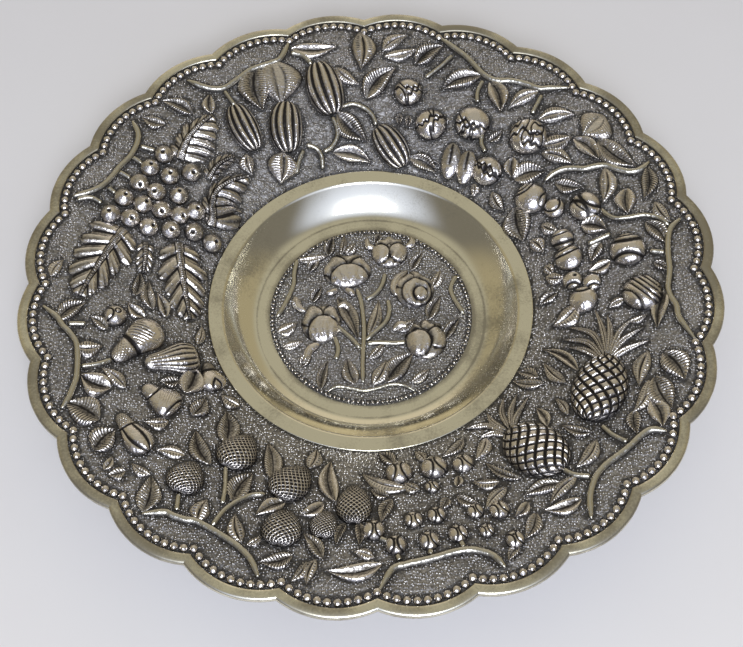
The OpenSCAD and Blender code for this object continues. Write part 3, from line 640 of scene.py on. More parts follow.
def leaf_form(t, x, nicks, style):
    """Height and depth from 0 to 1. Even styles are cups with raised edges, odd ones two pillows."""
    ax, cup = np.abs(x), style % 2 == 0
    edge = 1 - np.where(cup, ramp(ax, 0.85, 1.1), ramp(ax, 0.75, 1.08))
    pillow = 0.6 + 0.4 * np.sin(np.pi * np.clip(ax, 0, 1) ** 0.7)
    swell = np.where(cup, 0.3 + 0.7 * ramp(ax, 0.1, 0.75), pillow)
    middle = np.where(style == 3, 0.2, 0.0)
    crease = hump(ax - middle, 0.13 - 0.3 * middle) * ramp(t, 0.03, 0.2)
    taper = np.sin(np.pi * np.clip(t, 0.03, 0.97)) ** 0.5
    hatch = wave(nicks * t - 1.6 * ax) * ramp(ax, 0.1, 0.3)
    dots = wave(nicks * t) * hump(ax - 0.55, 0.25)
    share = np.where(style == 2, 0.4, np.where(style == 3, 0.7, 1.0))
    nick = np.where(style == 1, dots, share * hatch)
    height = taper * edge * (swell - np.where(cup, 0.2, 0.5) * crease - 0.3 * nick)
    flank = np.where(cup, 0, SHADE * (1 - np.clip(height, 0, 1)))
    # Painted shade: the middle of a cup and one half of a pillow leaf are darkened.
    dimming = np.where(cup, 0.6 * (1 - ramp(ax, 0.2, 0.68)), 0.38 * ramp(-x, 0.05, 0.3))
    return height, deepest(ramp(ax, 0.93, 1.06), 0.9 * crease, 0.8 * nick, flank, dimming)


leaf_outline = oval(0.8, 1.05)


def leaf_mesh(lay, lines, half, length, high, style, nick, bend, across, skirt=1.0, reach=1.22):
    """Leaves on centre lines, with half width, length, height and a nick's length in millimetres."""
    count, steps = lines.shape[:2]
    t = np.linspace(0, 1, steps)[None, :, None]
    x = np.linspace(-reach, reach, across + 1)[None, None]
    sway = 1 - 2 * (np.arange(count)[:, None, None] % 2)
    rise, depth = leaf_form(t, x, np.round(length / nick), style)
    side = half * leaf_outline(t) * x + bend * length * np.sin(np.pi * t) * sway
    return long_motif(lay, lines, side, high * rise - SINK * ramp(np.abs(x), skirt, 1.2), depth)


print("a leaf is widest at", np.argmax(leaf_outline(np.linspace(0, 1, 101))), "percent of its length")

# %% Border leaves
LEAF_OVER, LEAF_H, LEAF_WIDTH = 0.14, 1.9, 1.35
RIBBED_FROM, HEADROOM = 14, 3.5
LEAF_WIDER = {"pineapple": 1.05, "strawberry": 1.15, "cherry": 1.2}


def border_leaves(rows, wider):
    """All leaves of a list as one mesh, lower where less room is left below the rim's height."""
    lines, width = straight_lines(rows, np.linspace(0, 1, 54), LEAF_OVER)
    order = np.arange(len(rows))[:, None, None]
    style = np.where(width > RIBBED_FROM, 3, (order * 7 + 3) % 5 % 3)
    width = (wider + 0.35 * ramp(width, 9, 13)) * width
    room = (Z_RIM - ground_z(band_radius(lines[..., 1:]))) / HEADROOM
    high = LEAF_H * np.clip(width / 12, 0.7, 1.4) * np.clip(room, 0.3, 1)
    return leaf_mesh(lay_on_border, lines, width * BAND_W / 200, line_length(lines), high, style,
                     nick=1.3, bend=0.09, across=20, skirt=1.02)


LEAVES = {
    "gourd": [
        [137.4, 84, 139, 96.5, 7], [131.4, 79, 133.6, 96, 8], [127.4, 71, 125.4, 81, 7],
        [126.9, 32, 128.8, 21, 8], [117.2, 22, 121.8, 8, 13], [113.9, 84, 116.2, 58, 13],
        [109.9, 84.5, 111.6, 57.5, 18], [104.2, 93, 96.8, 89.5, 9], [90.8, 97, 91, 72, 11],
        [96.2, 71, 92, 59.5, 7], [89.2, 50.5, 83.6, 69, 11], [97.2, 37.5, 91, 21.5, 11],
        [100, 13, 90, 6, 9], [85, 80.5, 79.2, 87.5, 7], [85.6, 86, 81.6, 97, 8],
    ],
    "pomegranate": [
        [78, 77.5, 74.2, 92, 10], [64.6, 76.5, 70.4, 62, 10], [60.8, 75, 56.2, 61, 10],
        [51.4, 83.5, 54, 66, 8], [46.4, 69.5, 42.2, 84, 9], [54, 39, 52.8, 47.5, 5], [74.4, 10, 65.6, 6, 8],
        [45.4, 36, 42.2, 27.5, 8], [50.6, 9, 48.6, 3, 5], [43.2, 11, 36.8, 8, 7], [37.5, 97, 37, 80, 15],
        [33, 84, 25.4, 90.5, 11], [37, 72.5, 30.8, 74, 9], [41.5, 57, 38.6, 71, 10],
        [39.8, 51.5, 33.8, 58.5, 9], [80.4, 37.5, 80.2, 31, 4], [78.2, 37, 78, 30.5, 4],
    ],
    "fig": [
        [40.6, 28, 36.6, 42, 11], [31.4, 44, 27, 54, 8], [17.2, 42.5, 13.8, 53, 10],
        [23.4, 21, 19.5, 26.5, 7], [20.6, 10, 15.6, 13, 8], [33, 13, 23.6, 6.5, 12],
        [22.8, 96, 17.8, 85.5, 8], [20.4, 77, 15.8, 71.5, 10], [27, 72.5, 21, 61, 9],
        [15.2, 90, 11, 93.5, 7], [11.4, 79.5, 6.6, 86, 9], [10.4, 47, 6.8, 40, 7], [5, 49, 3.9, 37.5, 7],
        [6, 11, 4.2, 20.5, 7], [10, 11.5, 6.6, 14, 6], [-0.6, 14, -3.2, 5, 6], [2.2, 77, 0.4, 82.5, 5],
        [-5, 81, -12, 77, 8], [-6.4, 26, -11.8, 14.5, 10], [-5.8, 55, -7.6, 47.5, 5],
    ],
    "pineapple": [
        [-18.6, 84, -22.2, 97, 13], [-24.2, 83, -28.2, 96, 13], [-29, 86, -32.2, 96, 11],
        [-19.2, 73.5, -25.8, 74.5, 10], [-25.4, 78.5, -31.6, 78, 9], [-32.2, 79, -35.6, 86, 9],
        [-40.2, 62, -41.6, 48, 7], [-25.6, 33.5, -21.4, 13, 7], [-30, 30.5, -26, 15.5, 8],
        [-38.4, 43.5, -36.2, 33, 6], [-32.4, 18, -34.2, 3, 7], [-30.8, 13, -30.6, 2, 8],
        [-52.8, 87, -58, 81, 9], [-50.2, 76, -56.4, 79, 8], [-41.6, 69, -47.6, 71, 9],
        [-53.2, 72, -59, 66.5, 9], [-58.2, 53, -61.2, 35.5, 6], [-43.4, 38, -41, 27, 7],
        [-57.2, 18.5, -62.4, 27, 9], [-11.4, 60, -9.8, 69, 5],
    ],
    "cherry": [
        [-60.6, 80, -64, 88.5, 8], [-66.2, 92.5, -68.4, 97, 5], [-60.4, 71, -63.4, 74.5, 6],
        [-62, 56, -67.2, 62, 7], [-62.4, 49, -66.6, 42.5, 7], [-71.4, 48, -68.6, 57, 6],
        [-74.2, 46.5, -76, 52, 6], [-70.6, 40, -69.4, 34, 5], [-79.6, 35, -82.2, 29, 7],
        [-75.4, 13.5, -77, 6, 6], [-62.6, 10, -69.4, 15, 6], [-86.4, 41, -88.6, 54, 7],
        [-90, 83.5, -97.4, 88, 9], [-90.8, 78.6, -93.8, 75.8, 6], [-83, 31.5, -92.4, 20.5, 9],
        [-84.6, 11, -88, 3, 8], [-87.2, 36.5, -90.6, 32, 6],
    ],
    "strawberry": [
        [-93.6, 57, -93.2, 69.5, 6], [-96.2, 58, -97.2, 70.5, 5], [-102, 45.5, -105.4, 55, 8],
        [-100.5, 84, -101, 97, 7], [-102, 86, -103.4, 97, 6], [-99.8, 80, -103.4, 69, 8],
        [-105, 83.5, -109, 91, 9], [-110, 51, -113.4, 63.5, 9], [-114, 83, -117, 71, 9],
        [-112.4, 84, -111, 77, 5], [-119.3, 61, -119.5, 42.5, 11], [-115.6, 36, -121.4, 17.5, 10],
        [-99.4, 39, -102.4, 15, 10], [-108, 19.5, -108.4, 6.5, 9], [-122.4, 83.5, -123.4, 71.5, 10],
        [-131, 97, -134.2, 82, 11], [-138.6, 89.5, -139.6, 97, 7], [-141, 97, -142, 90, 5],
        [-135.4, 80, -138.6, 82.6, 6], [-134.4, 57, -138, 65.5, 8], [-129.4, 49, -136.6, 40.5, 10],
        [-131, 30.5, -137.4, 17, 11],
    ],
    "pear": [
        [-145, 94, -146.4, 80, 11], [-150.4, 85, -155, 96, 12], [-156, 70.5, -159.6, 82, 11],
        [-155.2, 62, -160, 69.5, 7], [-143.2, 50, -145.2, 60, 7], [-142.2, 33, -144.6, 22, 9],
        [-153, 30, -154, 39, 6], [-149.4, 28, -155, 17, 11], [-138.6, 6, -143.6, 10, 8],
        [-166, 81, -165.6, 68, 9], [-172.8, 90, -175.8, 76, 9], [-170, 63, -172.6, 71, 6],
        [-173.4, 40, -176.4, 48, 7], [-165, 9, -171, 5, 5], [-182, 97, -185, 92, 6],
        [-179.6, 45, -185, 44, 6], [-176.4, 34, -183, 37, 7], [-174.2, 26.5, -180, 31, 6],
    ],
}
for fruit, rows in LEAVES.items():
    add_piece(f"{fruit}_leaves", "relief_silver", *border_leaves(rows, LEAF_WIDER.get(fruit, LEAF_WIDTH)))

# %% [markdown]
# ## Vine leaves
# The grapes' leaves are large and lobed, with a rib like a twisted cord down the middle. They could be
# cut from a drawn outline and then raised, but on a grid along the rib the lobes, the veins and the
# cord all come from the same two numbers. The rib follows a path. The lobes are swept towards the tip,
# and each climbs slowly and drops at once. A sine of the lobe's number makes their tips ragged. Fine
# veins and the valleys between lobes hold the tarnish. A row holds the rib's path, a width in percent,
# and how far the leaf leans to one side.

# %% Vine leaves
VINE = [
    [[[141.2, 57.5], [138.6, 61], [135.6, 64.4], [132, 66.6], [127.6, 68]], 30, -0.4],
    [[[151.4, 15], [148.4, 17.4], [145.4, 22.5], [141.4, 26], [136, 25], [130.2, 20.6]], 28, -0.55],
    [[[164.2, 61], [169, 64.5], [175, 69.8], [182.4, 78.4]], 37, -0.15],
    [[[161.8, 26.5], [166.6, 22.6], [173, 17.8], [180, 14], [186.6, 11.4]], 33, 0.06],
    [[[139.8, 35.4], [135, 38], [129.8, 36]], 12, 0], [[[165.6, 45.4], [170.5, 42.6], [174.4, 42]], 12, 0],
]
VINE_LOBES, VINE_SWEEP, VINE_WIDER, VINE_H = 6, 0.2, 1.1, 3.2


def vine_leaves(rows, height, steps=190, across=72):
    """Lobes swept to the tip, each a slow climb and a short drop, on both sides of a rib like a cord."""
    t = np.linspace(0, 1, steps)
    lines = np.stack([curve(path, t) for path, _, _ in rows])
    half = np.array([VINE_WIDER * width * BAND_W / 200 for _, width, _ in rows])[:, None, None]
    lean = np.array([share for _, _, share in rows])[:, None, None]
    x = np.linspace(-SKIRT, SKIRT, across + 1)[None, None]
    t, away, length = t[None, :, None], np.abs(x), line_length(lines)
    pull = 4 * VINE_SWEEP * np.clip(away, 0.01, 1)
    row = (1 + pull - np.sqrt((1 + pull) ** 2 - 4 * pull * t)) / (2 * pull)
    lobe = VINE_LOBES * row % 1
    ridge = lobe**0.7 * (1 - ramp(lobe, 0.8, 1))
    veins = (1 - wave(2 * lobe)) * ramp(away, 0.15, 0.35) * (0.4 + 0.6 * away)
    order = np.floor(VINE_LOBES * row) + np.where(x > 0, 0.5, 0) + 3 * half
    ragged = 0.1 * np.sin(9 * order) + 0.05 * np.cos(4 * np.pi * lobe)
    reach = oval(0.5, 0.75)(row) * (0.65 + 0.35 * ridge + ragged * ridge)
    side = half * reach * (x + lean * away)
    scale = np.clip(half / 9, 0.65, 1)
    cord = scale * (1.8 - 1.3 * t)
    rib = np.exp(-((side / cord) ** 4))
    rope = wave(length * t / 1.1 + 0.3 * np.abs(side))
    blade = (1 - np.clip(away, 0, 1) ** 4) * (0.3 + 0.55 * ridge - 0.17 * veins)
    taper = np.sin(np.pi * np.clip(row, 0.02, 0.98)) ** 0.4
    high = height * scale * taper * (blade * (1 - rib) + rib * (0.95 - 0.12 * rope))
    valley = np.maximum(1 - ramp(ridge, 0.05, 0.5), 0.12 + 0.55 * veins) * (1 - rib)
    beside = 0.9 * hump(np.abs(side) - 1.35 * cord, 0.45)
    depth = deepest(ramp(away, 0.9, 1.04), valley, rib * (0.38 + 0.4 * rope), beside, SHADE * (0.75 - blade))
    return long_motif(lay_on_border, lines, side, high - SINK * ramp(away, 1.0, 1.1), depth)


add_piece("vine_leaves", "relief_silver", *vine_leaves(VINE, VINE_H))

# %% [markdown]
# ## Branches and stems
# Wavy branches run in from the bead row and frame its pockets, and short stems leave them for the
# fruit. A chaser raises them between two traced lines. Curve objects with a round bevel could stand for
# them, but their lower halves would be lost in the sheet. Each is a half-round wire here, that follows
# a smooth curve through points read off the photograph.

# %% Branches and stems
BRANCHES = [
    [[161, 101], [158.8, 92], [156.6, 87], [154, 85], [150.9, 84.5], [147.7, 83.5], [144.5, 86],
     [142.4, 91], [141, 101]],
    [[127.2, 101], [125.6, 91], [123.8, 84.5], [121.5, 81.5], [118, 83.5], [114.7, 86.3], [110, 86.3],
     [107.7, 88.5], [105, 100]],
    [[75.4, 101], [71.8, 94.5], [68.6, 89.5], [66, 84.5], [63.8, 80.5], [61.5, 78.8], [59.5, 80],
     [57.3, 83.5], [54.3, 86], [51.5, 87.5], [49.8, 91.5], [46.6, 100.5]],
    [[24.2, 101], [23.5, 92], [24.2, 85.5], [26, 80], [28.2, 75], [29.4, 69], [30.3, 63], [31.8, 58.5],
     [33.4, 53], [34.3, 46], [34.2, 38.5]],
    [[10.8, 101], [9.2, 92.5], [7, 88.5], [3.8, 86], [0.5, 85], [-2, 83.5], [-4, 82.5], [-5.8, 84],
     [-7.8, 87.2], [-10.5, 89.3], [-14.6, 100]],
    [[-33, 101], [-34, 92.5], [-36, 89], [-39, 87], [-41.5, 85], [-44.4, 83], [-47.2, 83.7],
     [-49.8, 87.6], [-51.6, 92.5], [-53.6, 101]],
    [[-69.6, 101], [-70.3, 93], [-71.5, 88], [-73.5, 83.7], [-76.2, 82], [-79.4, 82.6], [-82, 83.3],
     [-85, 84.2], [-87.5, 87], [-89.8, 100]],
    [[-108.6, 101], [-110.2, 94.5], [-111.5, 91], [-114, 87.4], [-117, 85.5], [-120, 84.8],
     [-122.6, 85.2], [-124.2, 87.6], [-126.2, 89.7], [-128, 91.3], [-130.6, 100.5]],
    [[-154.6, 101], [-156, 95], [-157.5, 91], [-159.4, 86.7], [-162, 83.9], [-164.5, 82.2], [-167, 81.7],
     [-169.1, 84.2], [-171, 88.5], [-173, 92], [-175.6, 101]],
]
STEMS = [
    [[156.4, 82.5], [156.9, 76.8]], [[152, 82.5], [152.1, 74]], [[147.6, 81.5], [147.7, 74.4]],
    [[144.6, 83], [143.4, 73.4]], [[161.4, 97], [160.4, 92.5], [159.9, 88], [160.3, 81]],
    [[122.2, 79.5], [122, 66]], [[105.6, 90], [103.4, 86], [101.8, 77]],
    [[96.5, 43], [93.5, 44.5], [90.5, 41.5], [88.2, 36], [87, 29]],
    [[99.6, 38], [98.8, 30], [99.2, 23], [101.5, 17.5], [104.6, 15.5]],
    [[109.2, 23], [106.4, 19], [105.4, 12.5], [106.2, 5]], [[110.4, 20], [113, 14.5], [115.6, 7.5]],
    [[71.2, 87.5], [73, 77], [75.8, 66]], [[62.9, 75.5], [62.9, 66], [61.8, 58.5]],
    [[50, 84.5], [49, 68.5]], [[57, 41.5], [55.7, 34.5], [53.2, 30.5]],
    [[9.8, 92], [12, 87.5], [13.6, 80], [14.4, 70], [15.3, 62.5], [17.3, 58.3], [19.3, 57]],
    [[4.2, 84], [5.2, 75.5]], [[12, 56], [11.6, 40]], [[-38.3, 85], [-38.4, 75], [-37.6, 66]],
    [[-47.8, 81.5], [-49.6, 74], [-50.2, 66.5]], [[-74.6, 81], [-74.7, 77.2]],
    [[-80.6, 80.5], [-80.4, 77.8]], [[-86, 81.5], [-86.3, 78.2]], [[-88, 68.5], [-89.2, 66.6]],
    [[-119.7, 83], [-119.7, 76.5], [-119.5, 70], [-118.6, 62], [-116.8, 54], [-114.2, 49.2]],
    [[-120.6, 68], [-122.3, 58], [-124.2, 50.5], [-125.6, 45.2]], [[-126.4, 86.5], [-128.4, 77.2]],
    [[-161.8, 82], [-161.6, 72], [-162, 63]], [[-171.4, 85.5], [-171.2, 74.5]],
]


def wires(lay, paths, width, height, steps_per_span=10, across=10):
    """A half-round section along each path, tapered at both ends, with a sunk skirt on each side."""
    x = np.linspace(-1.3, 1.3, across + 1)[None, None]
    parts = []
    for path in paths:
        t = np.linspace(0, 1, steps_per_span * (len(path) - 1) + 1)
        lines = curve(path, t)[None]
        t = t[None, :, None]
        ends = np.minimum(np.minimum(1, 0.3 + 9 * t), 0.3 + 9 * (1 - t))
        rise = height * ends * np.sqrt(np.clip(1 - x**2, 0, 1)) - SINK * ramp(np.abs(x), 0.98, 1.25)
        depth = np.maximum(ramp(np.abs(x), 0.9, 1.06), SHADE * x**2)
        parts.append(long_motif(lay, lines, width / 2 * ends * x, rise, depth))
    return join(parts)


add_piece("branch_ridges", "branch_silver", *wires(lay_on_border, BRANCHES, width=3.4, height=1.7))
add_piece("fruit_stems", "branch_silver", *wires(lay_on_border, STEMS, width=2.6, height=1.5))

# %% [markdown]
# ## Long fruit
# Gourds, pineapples, strawberries and pears are domes on a centre line. What tells them apart is the
# outline and the marks: ribs on the gourds, a deep diamond net on the pineapples, and on the
# strawberries thin raised wires round small dark pits. The marks could be bump in the finish, but then
# the fruit's edge would stay smooth, so they are cut into the mesh. They are waves of the length and of
# the angle across, and close up towards the edges as they do on a real fruit. The rows are like those
# of the leaves.

# %% Long fruit form
FRUIT_OVER, FRUIT_WIDER = 0.04, 1.15


def long_fruit(rows, outline, marks, rise, cut, steps=80, across=56, wider=FRUIT_WIDER):
    """A dome over the outline, with the marks cut into it and a sunk skirt round it."""
    t = np.linspace(0, 1, steps)
    lines, width = straight_lines(rows, t, FRUIT_OVER)
    x = SKIRT * np.sin(np.pi / 2 * np.linspace(-1, 1, across + 1))[None, None]
    t, half = t[None, :, None], wider * width * BAND_W / 200
    swell = np.sqrt(np.clip(1 - x**2, 0, 1)) * outline(t) ** 0.7
    mark = marks(t, np.arcsin(np.clip(x, -1, 1)) / np.pi)
    height = 2 * half * rise * swell - cut * mark * np.clip(swell * 1.5, 0, 1)
    depth = deepest(ramp(np.abs(x), 0.97, 1.03), mark, SHADE * (1 - swell))
    side = half * outline(t) * x
    return long_motif(lay_on_border, lines, side, height - SINK * ramp(np.abs(x), 1.0, 1.1), depth)


def ribs(t, across):
    """Narrow valleys between six ribs: a wave of the angle across, sharpened."""
    return wave(6 * (across + 0.04 * np.sin(np.pi * t))) ** 1.3


def net(rows, columns, sharp):
    """Two families of slanting grooves, that cross as diamonds."""
    def marks(t, across):
        one = np.abs(np.sin(np.pi * (rows * t + columns * across)))
        two = np.abs(np.sin(np.pi * (rows * t - columns * across)))
        return 1 - ramp(np.minimum(one, two), 0.1, sharp)
    return marks


def seed_pits(t, across):
    """Raised wires crossing as diamonds, with a dark pit in each mesh."""
    return ramp(1 - net(10, 10, 0.9)(t, across), 0.02, 0.5)


print("marks across a gourd:", ribs(0.0, np.linspace(0, 1 / 6, 5)).round(2).tolist())

# %% Gourds, pineapples and strawberries
GOURDS = [
    [122.4, 65.5, 123.6, 33.5, 18], [110.6, 53.5, 115, 23, 21], [100.8, 76, 99.3, 40, 22.5],
    [86.6, 27, 77.2, 5, 19],
]
PINEAPPLES = [[-37.4, 56.5, -21.2, 50, 30], [-50.2, 66, -50.6, 25, 31]]
STRAWBERRIES = [
    [-94.5, 56, -95, 30, 19], [-107.6, 79, -108.4, 56, 21], [-112.4, 48, -108.4, 23, 22],
    [-128.8, 76.5, -130.8, 56, 20], [-125.4, 45, -126.8, 19, 22], [-100.4, 68, -100.2, 50.5, 15],
]
add_piece("gourds", "relief_silver", *long_fruit(GOURDS, oval(0.95, 0.32), ribs, rise=0.3, cut=1.0))
add_piece("pineapples", "relief_silver",
          *long_fruit(PINEAPPLES, oval(0.9, 0.45), net(6.5, 5.5, 0.85), rise=0.25, cut=1.0,
                      steps=170, across=130))
add_piece("strawberries", "relief_silver",
          *long_fruit(STRAWBERRIES, oval(0.75, 0.6), seed_pits, rise=0.27, cut=0.4, steps=140, across=112))

# %% [markdown]
# The pineapples' crowns are narrow curved blades. Curve objects could make them, but each blade has a
# crease, so they are leaves too: two pillows and a crease, laid along a curve.

# %% Pineapple crowns
CROWNS = [
    [[-21.6, 52], [-18.6, 60], [-15.8, 73]], [[-21, 51.5], [-16.4, 57], [-12.8, 68.5]],
    [[-20.6, 51], [-14.6, 54], [-10.8, 61]], [[-20.4, 50], [-14, 48.5], [-9.6, 45.5]],
    [[-20.4, 49], [-14, 44], [-7.6, 37.5]], [[-20.8, 48], [-15, 38], [-13, 22.5]],
    [[-21.4, 47], [-17.6, 36], [-17.2, 20]], [[-22, 46.5], [-20, 36], [-19.6, 25]],
    [[-49.2, 24.5], [-45.6, 19.5], [-38.2, 16.5]], [[-49.4, 23], [-45, 14], [-38.6, 9]],
    [[-50, 22], [-46.8, 10], [-41.2, 3.2]], [[-50.8, 22], [-51.2, 11], [-49.6, 3]],
    [[-51.6, 22.5], [-53.4, 10], [-58.8, 3]], [[-52.4, 24], [-54.2, 17.5], [-57.6, 15.2]],
]
BLADE_W, BLADE_H = 3.4, 1.4
lines = np.stack([curve(path, np.linspace(0, 1, 90)) for path in CROWNS])
add_piece("pineapple_crowns", "relief_silver",
          *leaf_mesh(lay_on_border, lines, BLADE_W / 2, line_length(lines), BLADE_H,
                     np.ones((len(CROWNS), 1, 1)), nick=1.0, bend=0.0, across=14, reach=1.25))

# %% [markdown]
# ## Round fruit
# Grapes, cherries, pomegranates and figs are knocked up from behind and then marked from the front.
# Balls sunk into the sheet could stand for them, but half of each would never show. So they are domes
# of rings about a pole, draped on the border. Each has its marks in its own unit circle: grooves along
# circles, or on the grapes a punched eye with a raised ring round it. A cherry has a dark calyx between
# two grooves. A row holds degrees, percent and a diameter, which is in percent of the border too, but
# the grapes share one in millimetres. A groove is a circle's x, y and radius, and a width.


# %% Round fruit form
def dome_form(x, y, mark, high, cut):
    """Height and depth of a dome on the unit circle, with marks cut into it and a sunk skirt."""
    far = np.hypot(x, y)
    swell = np.sqrt(np.clip(1 - far**2, 0, 1))
    height = high * swell - cut * mark * np.clip(1.6 * swell, 0, 1) - SINK * ramp(far, 1.0, 1.1)
    return height, deepest(ramp(far, 0.95, 1.03), mark, SHADE * (1 - swell))


def round_fruit(rows, marks, rise, cut, rings=22, spokes=48):
    """Domes at angle, percent and diameter in millimetres, with marks(x, y) cut into each."""
    rows = np.asarray(rows, float)
    x, y = unit_disc(rings, spokes, SKIRT)
    angle, percent, size = (rows[:, k][:, None] for k in range(3))
    mark = marks(x + 0 * size, y + 0 * size)
    height, depth = dome_form(x, y, mark, size * rise, cut)
    r = band_radius(percent)
    unit = BAND_W / 100 * np.sqrt(1 + ground_slope(r) ** 2)
    points = on_border(angle - np.degrees(x * size / 2 / r), percent + y * size / 2 / unit, height)
    return points.reshape(-1, 3), round_faces(len(rows), rings, spokes), depth.ravel()


def arcs(cuts, jag=0.0):
    """Per fruit, grooves along circles of given centre, radius and width, jagged by a sine."""
    def score(x, y, cut):
        return hump(np.hypot(x - cut[0], y - cut[1]) - cut[2] + jag * np.sin(13 * x + 8 * y), cut[3])

    def marks(x, y):
        return np.stack([deepest(*(score(x[i], y[i], cut) for cut in row)) for i, row in enumerate(cuts)])
    return marks


print("a dome from pole to edge:", dome_form(np.linspace(0, 1, 5), 0, 0, 1, 0)[0].round(2).tolist())

# %% Grapes and cherries
GRAPE_D = 10.3
GRAPES = [
    [161.8, 73], [157, 70.5], [152, 67.5], [147.5, 68], [142.8, 67], [161, 60.5], [156.4, 57.8],
    [151.7, 55], [146.3, 54.5], [161.2, 47.5], [155.4, 45.8], [149.3, 42], [159.2, 34.6], [154, 34.4],
    [150.4, 27.8], [156.2, 21.5], [156.4, 8.7], [142, 46],
]
CHERRIES = [
    [-66, 87.5, 10], [-69.6, 75.5, 8], [-74.7, 71.6, 10.5], [-80.2, 71.8, 11], [-65.5, 66.4, 11],
    [-69.8, 61, 9], [-77.4, 56, 10], [-82.2, 56.2, 10], [-66.4, 26.6, 12], [-73.8, 22, 15],
    [-76.2, 35.5, 8], [-86.4, 71.7, 11.5], [-90.4, 61, 12], [-83.3, 20, 15],
]
GROWN = 1.12 * BAND_W / 100


def eyes(x, y):
    """A punched hole with a raised ring round it, at a different place on each fruit."""
    order = np.arange(len(x))[:, None]
    off = np.hypot(x + 0.1 - 0.3 * np.sin(2.4 * order), y + 0.1 - 0.25 * np.cos(1.7 * order))
    return 0.42 + hump(off, 0.17) - 0.9 * hump(off - 0.34, 0.11)


def grown(rows):
    """Diameters from percent of the border to millimetres."""
    return [[a, p, d * GROWN] for a, p, d in rows]


calyx = [[(1.15 + 0.1 * np.sin(2 * i), 0.1, 1.0, 0.12), (-1.15, 0.1 * np.cos(i), 1.0, 0.12),
          (0.1 * np.sin(3 * i), -0.3, 0.0, 0.16)] for i in range(len(CHERRIES))]
add_piece("grapes", "relief_silver",
          *round_fruit([[a, p, GRAPE_D] for a, p in GRAPES], eyes, rise=0.42, cut=0.45))
add_piece("cherries", "relief_silver", *round_fruit(grown(CHERRIES), arcs(calyx), rise=0.38, cut=0.45))

# %% [markdown]
# The pomegranates have burst, so their cracks are jagged, and two bell-shaped pods hang beside them.
# The split fruits, most likely figs, have smooth clefts, each its own. A Boolean modifier could cut
# them, but a groove in the height has the soft edge that a punch leaves.


# %% Pomegranates and split fruits
def between(value, low, high, soft):
    """1 between two values, with soft ends."""
    return ramp(value, low - soft, low) * (1 - ramp(value, high, high + soft))


def bell_shade_and_crease(t, across):
    """The upper part painted dark as shade and sunk a little, a crease down it, and a bare rim."""
    return 0.42 * (1 - ramp(t, 0.55, 0.75)) + 0.4 * hump(across, 0.05) * between(t, 0.1, 0.6, 0.1)


POMEGRANATES = [[46.2, 54, 24], [60.6, 44, 22], [71.4, 34.5, 20], [49.6, 20.5, 19], [79.2, 54, 18]]
BELLS = [[63, 26.5, 60.4, 5, 12], [57.6, 26, 54.6, 6, 12]]
SPLIT_FRUITS = [
    [21.8, 49, 19], [33, 24.8, 20], [26, 32.5, 13], [6.8, 62.5, 21], [16.2, 27, 14], [9.8, 26.5, 17],
    [2.4, 25.5, 12], [0.4, 37, 11], [-4.5, 66.8, 23], [-4.4, 31, 17],
]
POMEGRANATE_CUTS = [
    [(-1.5, 0.3, 1.2, 0.09), (-1.9, 0.4, 1.2, 0.08), (0.2, 0.5, 0.3, 0.08), (0.6, 0.05, 0.3, 0.08),
     (0.1, -0.2, 0.3, 0.08)],
    [(0.1, 1.3, 1.5, 0.09), (-0.55, -0.6, 0.33, 0.09), (0, -0.7, 0.33, 0.09), (0.55, -0.55, 0.33, 0.09)],
    [(-1.1, 0.7, 1.1, 0.1), (1.2, -0.2, 1.0, 0.1), (0.2, 1.2, 0.7, 0.08)],
    [(0, -1.1, 1.35, 0.1), (0.1, 1.1, 1.3, 0.1), (0, 0, 0.0, 0.3)],
    [(0, 1.0, 0.85, 0.1), (-0.9, -0.7, 0.85, 0.1), (0.9, -0.7, 0.85, 0.1)],
]
SPLIT_CUTS = [
    [(-0.4, 1.0, 1.0, 0.17), (0.3, -1.0, 1.0, 0.17), (-0.4, 1.0, 1.45, 0.07)],
    [(-1.4, 0.2, 1.0, 0.08), (-1.4, 0.2, 0.75, 0.07), (1.3, 0.9, 0.9, 0.07)], [(-0.4, 0, 0.8, 0.1)],
    [(-2.0, 0.3, 1.7, 0.17), (2.1, -0.3, 1.7, 0.15), (-2.0, 0.3, 1.3, 0.07)],
    [(-2.2, 0.3, 2.75, 0.16), (-2.2, 0.3, 1.9, 0.08)], [(-2.4, -0.2, 2.3, 0.1), (-2.4, -0.2, 1.8, 0.08)],
    [(1.5, 0, 1.05, 0.16), (-0.3, 0.4, 0.0, 0.2)], [(1.5, 0.2, 1.1, 0.16)],
    [(1.3, -1.5, 1.55, 0.07), (-2.2, 2.2, 2.5, 0.06), (-2.2, 2.2, 2.75, 0.06), (-2.2, 2.2, 3.0, 0.06),
     (-2.2, 2.2, 3.25, 0.06), (-2.2, 2.2, 2.25, 0.06)],
    [(-1.2, 0, 0.75, 0.1)],
]
rounds = round_fruit(grown(POMEGRANATES), arcs(POMEGRANATE_CUTS, 0.08), 0.3, 0.9, rings=40, spokes=90)
bells = long_fruit(BELLS, oval(0.9, 0.45), bell_shade_and_crease, rise=0.28, cut=0.6)
add_piece("pomegranates", "relief_silver", *join([rounds, bells]))
add_piece("split_fruits", "relief_silver",
          *round_fruit(grown(SPLIT_FRUITS), arcs(SPLIT_CUTS), rise=0.31, cut=0.9))

# %% [markdown]
# The pears are smooth skins with a few straight grooves and a field of fine work, different on each: a
# crossed net on the neck, slanting lines, or ribs. Two pears also have a plain dark neck, a painted
# reflection. An image could hold that work, but formulas keep it in the mesh. A groove runs between two
# places on the unrolled skin, each given by a share of the length and of the half turn across. One small
# round fruit lies among them.


# %% Pears
def pear_outline(t):
    """Round at both ends, with a neck of half the body's width that swells past the middle."""
    return np.clip(1 - (2 * t - 1) ** 4, 0, 1) ** 0.5 * (0.55 + 0.45 * ramp(t, 0.2, 0.75))


